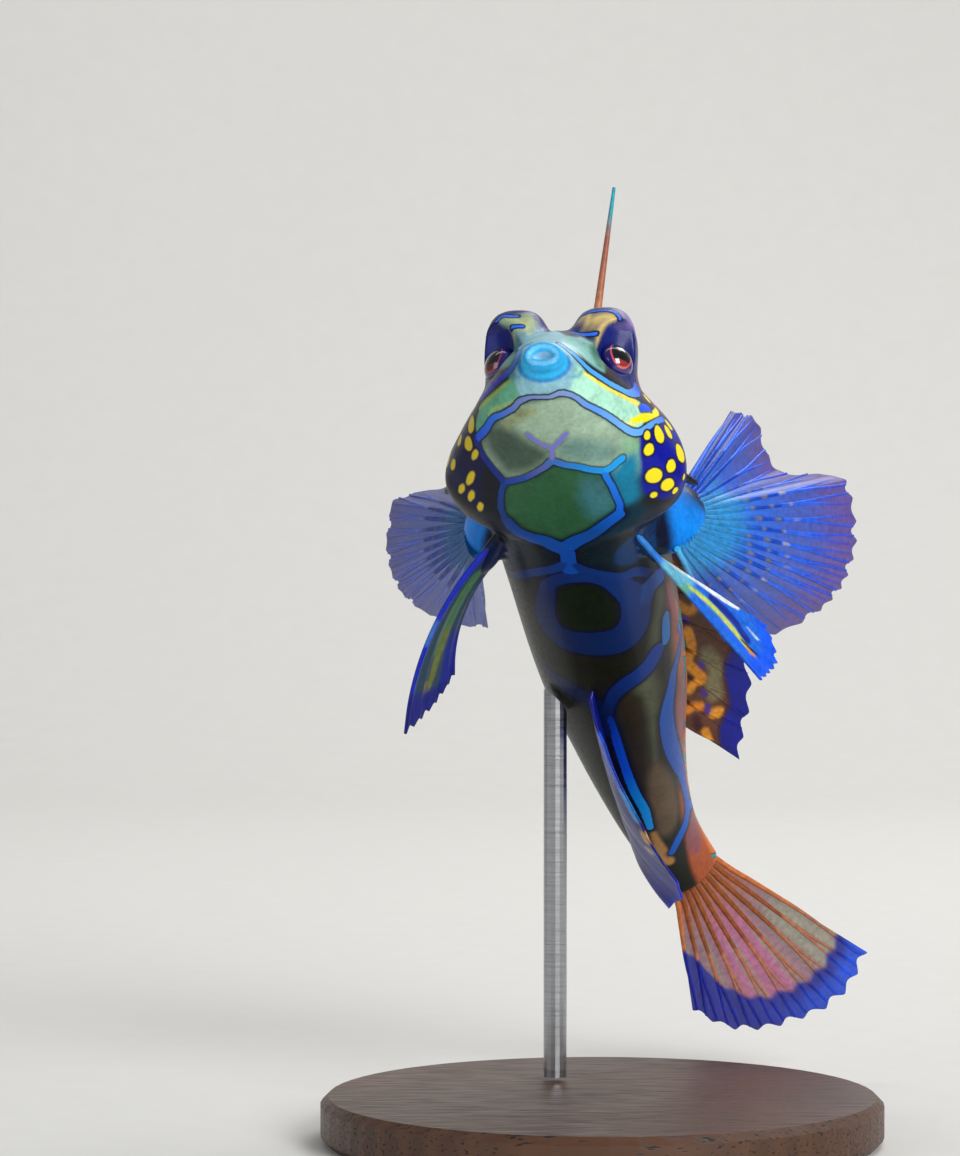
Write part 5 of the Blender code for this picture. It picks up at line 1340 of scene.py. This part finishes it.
PELVIC_STROKES = {
    1: (
        ("#64B4D0", 0.9, 0.5, ((0.1, 0.24), (0.6, 0.3))),
        ("#5CA898", 0.3, 0.1, ((0.06, 0.36), (0.45, 0.4), (0.48, 0.48), (0.5, 0.55))),
        ("#C4CC58", 0.24, 0.08, ((0.3, 0.36), (0.5, 0.46), (0.48, 0.56), (0.43, 0.65), (0.37, 0.73),
         (0.32, 0.82))),
        ("#D88A28", 0.22, 0.08, ((0.29, 0.82), (0.27, 0.84), (0.31, 0.87))),
        ("#0A2890", 0.34, 0.12, ((0.74, 0.5), (0.63, 0.66), (0.53, 0.73), (0.48, 0.78))),
        ("#D4E8E4", 0.2, 0.08, ((0.5, 0.05), (0.6, 0.1), (0.69, 0.17), (0.91, 0.29))),
        ("#E2EEEC", 0.26, 0.08, ((0.81, 0.19), (0.92, 0.3), (0.97, 0.42), (0.96, 0.55), (1.0, 0.71))),
        ("#081018", 0.13, 0.05, ((0.89, 0.27), (0.92, 0.35), (0.89, 0.45))),
        ("#E2EEEC", 0.2, 0.08, ((0.96, 0.61), (1.0, 0.69), (1.0, 0.75))),
        ("#081020", 0.12, 0.05, ((0.36, 0.76), (0.37, 0.84), (0.38, 0.9))),
        ("#C8E0F0", 0.12, 0.05, ((0.72, 0.77), (0.69, 0.82), (0.67, 0.85))),
        ("#1A60F0", 0.18, 0.08, ((0.2, 0.6), (0.15, 0.8), (0.1, 0.96))),
    ),
    -1: (
        ("#3C7048", 0.55, 0.16, ((0.42, 0.16), (0.4, 0.3), (0.4, 0.5), (0.42, 0.64))),
        ("#66702C", 0.34, 0.14, ((0.46, 0.52), (0.44, 0.66), (0.4, 0.78), (0.34, 0.86))),
        ("#0624B4", 0.22, 0.08, ((0.0, 0.08), (0.02, 0.2), (0.0, 0.4), (0.0, 0.6), (0.0, 0.8), (0.0, 0.98))),
        ("#3468C0", 0.08, 0.05, ((0.0, 0.44), (0.0, 0.56))),
        ("#071008", 0.08, 0.04, ((0.38, 0.18), (0.36, 0.32), (0.33, 0.47), (0.3, 0.62), (0.26, 0.75),
         (0.22, 0.85))),
        ("#A8802C", 0.16, 0.08, ((0.26, 0.8), (0.24, 0.86))),
    ),
}


def pelvic_paint(side, rays):
    """The stripes of one pelvic fin, drawn over blue on the left fin and over dark green on the right one."""
    def paint(u, v, points):
        if side > 0:
            under = coats(plain_colour("#1466D8", len(u)), ("#2C7CD0", 1 - rise_between(v, 0.1, 0.2)))
            tip = ("#0A58F0", rise_between(v, 0.84, 0.92))
        else:
            under = coats(plain_colour("#1C3C50", len(u)), ("#04205A", 1 - rise_between(v, 0.10, 0.24)),
                          ("#02158C", rise_between(u, 0.55, 0.75) * rise_between(v, 0.5, 0.7)))
            tip = ("#000C78", rise_between(v + 0.14 * (1 - u), 0.92, 0.98))
        return coats(fin_strokes(under, points, rays, PELVIC_STROKES[side]), tip)
    return paint


for side_name, side in SIDES:
    rays = pelvic_rays(side)
    paint = pelvic_paint(side, rays)
    make_fin("pelvic_web_" + side_name, rays, paint, paint, (ray_resin, ray_resin), "pelvic_fin_" + side_name,
             notch=0.025, across=12, along=130, radii=(0.2, 0.09), thickness=(0.42, 0.2),
             billow=0.05)


# First dorsal fin
# Four thin spines on the shoulders carry a low web, and a male's first spine is drawn out into a long thread.
# The spines are wire under resin, set into the back, and lean a little to the fish's left.
ROOT_DEPTH = 1.2
MEDIAN_POINTS = 7
# Its spines: station, length, rake, lean and bend, as in median_ray
FIRST_DORSAL = (
    (15.5, 8.0, 112.0, 7.0, 0.02), (16.6, 6.8, 94.0, 7.0, 0.05), (17.7, 5.4, 72.0, 7.0, 0.08),
    (18.8, 4.0, 52.0, 7.0, 0.1),
)
LONG_SPINE_LENGTH = 16.4
LONG_SPINE_RADII = (0.36, 0.11)  # at its root and its tip
THREAD_POINTS, THREAD_SIDES = 80, 12


def median_ray(station, side, length, rake, lean, bend, across=0.0, fold=0.0):
    """A ray on the back (side 1) or belly (side -1), by its rake from the body's line and its lean to the
    fish's left, both in degrees, the shares of its length by which its tip is drawn back (bend) and to the
    left (fold), and how far to the left of the middle its root lies."""
    back, left, up = spine_frame(np.array(station))
    root = place(station, across, read(SECTIONS, 2 if side > 0 else 3, station))
    rake, lean = math.radians(rake), math.radians(lean)
    aim = math.cos(rake) * back + math.sin(rake) * (math.cos(lean) * side * up + math.sin(lean) * left)
    share = np.linspace(0, 1, MEDIAN_POINTS)[1:, None]
    outer = root + length * (aim * share + (back * bend + left * fold) * share**2)
    return np.concatenate([[root - side * up * ROOT_DEPTH], outer])


def first_dorsal_web(u, v, points):
    """Orange with two blue bands across and a navy edge."""
    return coats(
        plain_colour("#C0602C", len(u)),
        ("#1C6FA8", fade(np.abs(v - 0.45) * 8 - 0.5, 0.2)),
        ("#1C6FA8", fade(np.abs(v - 0.75) * 8 - 0.4, 0.2)),
        ("#10207A", rise_between(v, 0.86, 0.96)),
    )


def first_dorsal_ray_paint(u, v, points):
    """Tan, browner towards the tips."""
    return coats(plain_colour("#B87850", len(u)), ("#7A4030", rise_between(v, 0.5, 1.0) * 0.5))


first_rays = np.array([median_ray(row[0], 1, *row[1:]) for row in FIRST_DORSAL])
make_fin("first_dorsal_web", first_rays, first_dorsal_web, first_dorsal_ray_paint, (ray_resin, web_resin),
         "first_dorsal_fin", notch=0.16, across=14, along=50, radii=(0.22, 0.12), fork=0.97)

# the long thread: a tapered wire with a slight curve, painted tan below and teal at its tip
thread = median_ray(FIRST_DORSAL[0][0], 1, LONG_SPINE_LENGTH, *FIRST_DORSAL[0][2:])
thread = smooth_rows(thread, np.linspace(1, MEDIAN_POINTS - 1, THREAD_POINTS))
thread_v = np.linspace(0, 1, THREAD_POINTS)
thread_radii = LONG_SPINE_RADII[0] + (LONG_SPINE_RADII[1] - LONG_SPINE_RADII[0]) * thread_v
thread_piece = new_piece("first_dorsal_thread", *tube(thread, thread_radii, THREAD_SIDES))
thread_v = np.concatenate([np.repeat(thread_v, THREAD_SIDES), [0, 1]])
store(thread_piece.data, "paint", coats(
    plain_colour("#B87850", len(thread_v)),
    ("#9A5A48", rise_between(thread_v, 0.3, 0.7)),
    ("#2A9AA8", rise_between(thread_v, 0.72, 0.9)),
))
thread_piece.data.materials.append(ray_resin)
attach(thread_piece, "root")


# Second dorsal fin
# A taller fin of eight forked rays along the rear of the back, folded over to the fish's left. Its web is
# olive brown with orange blotches, edged in dark blue.
SECOND_DORSAL_LENGTHS = ((0.0, 8.6), (0.55, 10.4), (1.0, 8.6))
SECOND_DORSAL_RAYS = 8
# Its first and its last ray: share of the way back, station, rake, lean and bend
SECOND_DORSAL_ENDS = ((0, 23.5, 48, 62, 0.04), (1, 39, 36, 66, 0.06))
second_rays = np.array([
    median_ray(station, 1, float(read(SECOND_DORSAL_LENGTHS, 1, share)), rake, lean, bend)
    for share, station, rake, lean, bend in np.linspace(*SECOND_DORSAL_ENDS, SECOND_DORSAL_RAYS)
])
SECOND_DORSAL_STROKES = (
    ("#7A7250", 0.55, 0.3, ((0.54, 0.62), (0.6, 0.7), (0.66, 0.66), (0.73, 0.69))),
    ("#7A7250", 0.45, 0.3, ((0.15, 0.62), (0.3, 0.66))),
    ("#D88C1C", 0.34, 0.12, ((0.47, 0.47), (0.52, 0.49), (0.57, 0.48), (0.65, 0.43))),
    ("#D88C1C", 0.34, 0.12, ((0.65, 0.46), (0.68, 0.57), (0.73, 0.5), (0.78, 0.46))),
    ("#D89020", 0.42, 0.12, ((0.81, 0.74), (0.83, 0.7))),
    ("#D07C18", 0.34, 0.12, ((0.84, 0.56), (0.86, 0.5), (0.9, 0.44))),
    ("#D88C1C", 0.3, 0.12, ((0.96, 0.62), (1.0, 0.66))),
    ("#D07C18", 0.34, 0.12, ((0.1, 0.42), (0.16, 0.5), (0.24, 0.46))),
    ("#D88C1C", 0.32, 0.12, ((0.32, 0.6), (0.36, 0.52), (0.34, 0.38))),
    ("#D07C18", 0.32, 0.12, ((0.05, 0.64), (0.1, 0.72))),
    ("#D07C18", 0.34, 0.12, ((0.2, 0.26), (0.34, 0.24))),
    ("#D07C18", 0.34, 0.12, ((0.5, 0.26), (0.62, 0.24))),
    ("#D07C18", 0.34, 0.12, ((0.76, 0.24), (0.9, 0.26))),
    ("#4A2A88", 0.22, 0.1, ((0.41, 0.45), (0.42, 0.48))),
    ("#4A2A88", 0.22, 0.1, ((0.61, 0.55), (0.62, 0.57))),
    ("#4A2A88", 0.22, 0.1, ((0.75, 0.58), (0.76, 0.6))),
    ("#4A2A88", 0.24, 0.1, ((0.82, 0.63), (0.84, 0.64))),
    ("#3A1018", 0.3, 0.16, ((0.92, 0.52), (0.97, 0.55))),
    ("#4A2A88", 0.22, 0.1, ((0.18, 0.58), (0.2, 0.6))),
)


def second_dorsal_paint(u, v, points):
    """Olive brown with its blotches, a purple line, and a dark blue border with a wavy inner edge."""
    inner = 0.80 + 0.03 * np.sin(u * 19) + 0.05 * (1 - rise_between(u, 0.4, 0.6))
    return coats(
        fin_strokes(plain_colour("#5A3420", len(u)), points, second_rays, SECOND_DORSAL_STROKES),
        ("#3A1838", rise_between(v, inner - 0.05, inner - 0.01)),
        ("#000E88", rise_between(v, inner - 0.01, inner + 0.015)),
    )


make_fin("second_dorsal_web", second_rays, second_dorsal_paint, second_dorsal_paint, (ray_resin, ray_resin),
         "second_dorsal_fin", notch=0.05, across=12, along=90, radii=(0.2, 0.08))


# Anal fin
# A low fin of seven forked rays along the rear of the belly, folded to the fish's left and back, so that its
# right face shows as a dark blue blade. Its outer face is bright blue with ochre near the tail.
# Its rays: station, length, rake, lean, bend, across and fold, as in median_ray
ANAL_FIN = (
    (28.5, 3.6, 30.0, -10.0, 0.03, 0.0, 0.3), (31.2, 4.6, 30.0, -12.0, 0.03, 0.0, 0.42),
    (33.8, 5.8, 29.0, -14.0, 0.02, 0.0, 0.55), (36.5, 6.6, 28.0, -14.0, 0.02, 0.0, 0.62),
    (39.2, 6.6, 27.0, -14.0, 0.02, -0.1, 0.7), (41.6, 6.4, 26.0, -14.0, 0.0, -0.1, 0.68),
    (43.8, 5.9, 25.0, -14.0, 0.0, -0.1, 0.48),
)
anal_rays = np.array([median_ray(row[0], -1, *row[1:]) for row in ANAL_FIN])
ANAL_STROKES = (
    ("#50606C", 0.12, 0.1, ((0.1, 0.45), (0.22, 0.6), (0.34, 0.62))),
    ("#0A50E0", 0.4, 0.14, ((0.02, 0.8), (0.12, 0.84), (0.24, 0.86))),
    ("#109CF4", 0.32, 0.12, ((0.24, 0.88), (0.34, 0.92))),
    ("#D8A45C", 0.34, 0.12, ((0.4, 0.94), (0.44, 0.92))),
    ("#D8A45C", 0.34, 0.12, ((0.52, 0.88), (0.54, 0.84))),
    ("#1098F0", 0.18, 0.08, ((0.48, 0.96), (0.49, 0.92))),
)


def anal_paint(u, v, points):
    """Navy, with its strokes and a brighter tip at the rear."""
    under = coats(plain_colour("#00107C", len(u)),
                  ("#00189E", rise_between(u, 0.5, 0.7) * rise_between(v, 0.6, 0.8)))
    return coats(fin_strokes(under, points, anal_rays, ANAL_STROKES),
                 ("#0A34E0", rise_between(u, 0.62, 0.7) * rise_between(v, 0.92, 0.98) * 0.8))


make_fin("anal_web", anal_rays, anal_paint, anal_paint, (ray_resin, ray_resin), "anal_fin",
         notch=0.02, across=12, along=80, radii=(0.15, 0.07), thickness=(0.24, 0.14), billow=0.03)


# Tail fin
# The tail fin is a rounded fan of ten forked rays from the end of the tail stem. The rays are orange, the web
# between them is clear with a purple tinge, and a broad blue border runs round the edge.
TAIL_FAN = 44.0  # degrees from its lowest ray to its highest
TAIL_RAYS, TAIL_POINTS = 10, 9
TAIL_LENGTHS = ((-1.0, 9.7), (-0.5, 12.9), (0.0, 14.6), (0.5, 15.6), (1.0, 14.6))
TAIL_ROOT_MIDDLE = 0.25
TAIL_ROOT_HALF = 1.65


def tail_ray(share):
    """One ray of the tail fin, by its share of the way up the fan, from -1 to 1."""
    angle = math.radians(TAIL_FAN / 2) * share
    along = np.linspace(0, 1, TAIL_POINTS)[1:] * float(read(TAIL_LENGTHS, 1, share))
    height = TAIL_ROOT_MIDDLE + TAIL_ROOT_HALF * share
    rows = place(BODY_LENGTH + along * math.cos(angle), 0.0, height + along * math.sin(angle))
    return np.concatenate([[place(BODY_LENGTH - ROOT_DEPTH, 0.0, height * 0.9)], rows])


tail_rays = np.array([tail_ray(share) for share in np.linspace(-1, 1, TAIL_RAYS)])

# The blue border's inner edge: share of the way up the fan, and v there
TAIL_BORDER = (
    (0.0, 0.5), (0.13, 0.55), (0.2, 0.66), (0.33, 0.76), (0.45, 0.81), (0.59, 0.81), (0.98, 0.81),
    (1.0, 0.81),
)


def tail_border(colours, u, v):
    """Lays the blue border round a tail fin: navy on its lower side, bright on its upper side."""
    inner = np.interp(u, *np.array(TAIL_BORDER).T) + 0.012 * np.sin(u * 56)
    share = rise_between(v, inner - 0.015, inner + 0.02)
    upper = rise_between(v, inner + 0.03, inner + 0.12) * rise_between(u, 0.3, 0.9)
    return coats(colours, ("#00128E", share), ("#0A4CD8", share * upper))


def tail_web(u, v, points):
    """Clear with a purple tinge, pink in the middle of the fan and grey-green towards its top."""
    return tail_border(coats(
        plain_colour("#94707A", len(u)),
        ("#B4688C", rise_between(u, 0.25, 0.4) * (1 - rise_between(u, 0.6, 0.75))),
        ("#9A9484", rise_between(u, 0.7, 0.85) * rise_between(v, 0.3, 0.5)),
        ("#8C8C7C", rise_between(np.sin(u * 29 + 1.2), 0.3, 0.8) * rise_between(v, 0.35, 0.5) * 0.6),
        ("#A86450", 1 - rise_between(v, 0.12, 0.4)),
    ), u, v)


def tail_ray_paint(u, v, points):
    """Orange, duller towards the tips."""
    rays = coats(plain_colour("#C4703C", len(u)), ("#9A6A5C", rise_between(v, 0.35, 0.7) * 0.75))
    return tail_border(rays, u, v)


make_fin("tail_web", tail_rays, tail_web, tail_ray_paint, (ray_resin, web_resin), "tail_fin",
         notch=0.035, across=14, along=110, radii=(0.22, 0.08))


# Table, lamps and camera
# The model stands on a plain pale table that sweeps up behind it. Two large soft lamps light it from the
# front and above, and a third from behind gives the fins their edges.
SWEEP_FRONT, SWEEP_DEPTH, SWEEP_RADIUS, SWEEP_HEIGHT, SWEEP_HALF = -900.0, 260.0, 160.0, 900.0, 900.0
turn = np.linspace(0, np.pi / 2, 24)[1:]
profile = [(SWEEP_FRONT, 0.0), (SWEEP_DEPTH, 0.0)]
profile += [(SWEEP_DEPTH + SWEEP_RADIUS * math.sin(t), SWEEP_RADIUS * (1 - math.cos(t))) for t in turn]
profile += [(SWEEP_DEPTH + SWEEP_RADIUS, SWEEP_HEIGHT)]
sweep_points = [(x, y, z) for y, z in profile for x in (-SWEEP_HALF, SWEEP_HALF)]
sweep_faces = [(2 * i, 2 * i + 1, 2 * i + 3, 2 * i + 2) for i in range(len(profile) - 1)]
table = new_piece("table", sweep_points, sweep_faces)
# Matt painted board: pale, with a roller's faint stipple a few millimetres across.
STIPPLE_CELLS = 350.0  # to the metre
board, tree, paint = start_finish("matt_painted_board")
at = add(tree, "ShaderNodeTexCoord").outputs["Object"]
stipple = add(tree, "ShaderNodeTexNoise", {"Vector": at, "Scale": STIPPLE_CELLS, "Detail": 3.0})
pale = add(tree, "ShaderNodeMixRGB", {"Fac": stipple, "Color1": linear("#D9D8D4"),
                                      "Color2": linear("#DEDDD9")})
wire(tree, paint, {"Base Color": pale, "Roughness": 0.85})
table.data.materials.append(board)

# Lamps: name, place and what it is turned to, width and height, all in millimetres, and watts
LAMPS = (
    ("key_lamp", (230, -380, 230), (0, 0, 35), (220, 220), 1.9),
    ("fill_lamp", (-320, -260, 160), (0, 0, 30), (240, 240), 0.30),
    ("back_lamp", (120, 200, 300), (0, 0, 35), (200, 160), 0.55),
    ("table_lamp", (0, 120, 420), (0, 420, 180), (500, 160), 0.62),
)
for name, stand, target, (width, height), watts in LAMPS:
    light = bpy.data.lights.new(name, "AREA")
    light.shape, light.size, light.size_y, light.energy = "RECTANGLE", width * MM, height * MM, watts
    lamp = bpy.data.objects.new(name, light)
    lamp.location = [v * MM for v in stand]
    lamp.rotation_euler = (Vector(target) - Vector(stand)).to_track_quat("-Z", "Y").to_euler()
    bpy.context.scene.collection.objects.link(lamp)

world = bpy.data.worlds.new("studio_air")
world.use_nodes = True
wire(world.node_tree, world.node_tree.nodes["Background"], {"Color": linear("#F2F4F8"), "Strength": 0.22})
bpy.context.scene.world = world
bpy.context.scene.view_settings.view_transform = "Standard"

SENSOR = 36.0
PHOTO_HEIGHT, FOCAL_PIXELS = 1156, 4648
CAMERA_PLACE = (-7.795, -295.79, 46.37)  # millimetres
CAMERA_TILT = 88.0  # degrees up from straight down
camera_data = bpy.data.cameras.new("camera")
camera_data.sensor_width = SENSOR
camera_data.lens = FOCAL_PIXELS / PHOTO_HEIGHT * SENSOR
camera_data.clip_start, camera_data.clip_end = 0.01, 10.0
camera = bpy.data.objects.new("camera", camera_data)
camera.location = [v * MM for v in CAMERA_PLACE]
camera.rotation_euler = (math.radians(CAMERA_TILT), 0.0, 0.0)
bpy.context.scene.collection.objects.link(camera)
bpy.context.scene.camera = camera
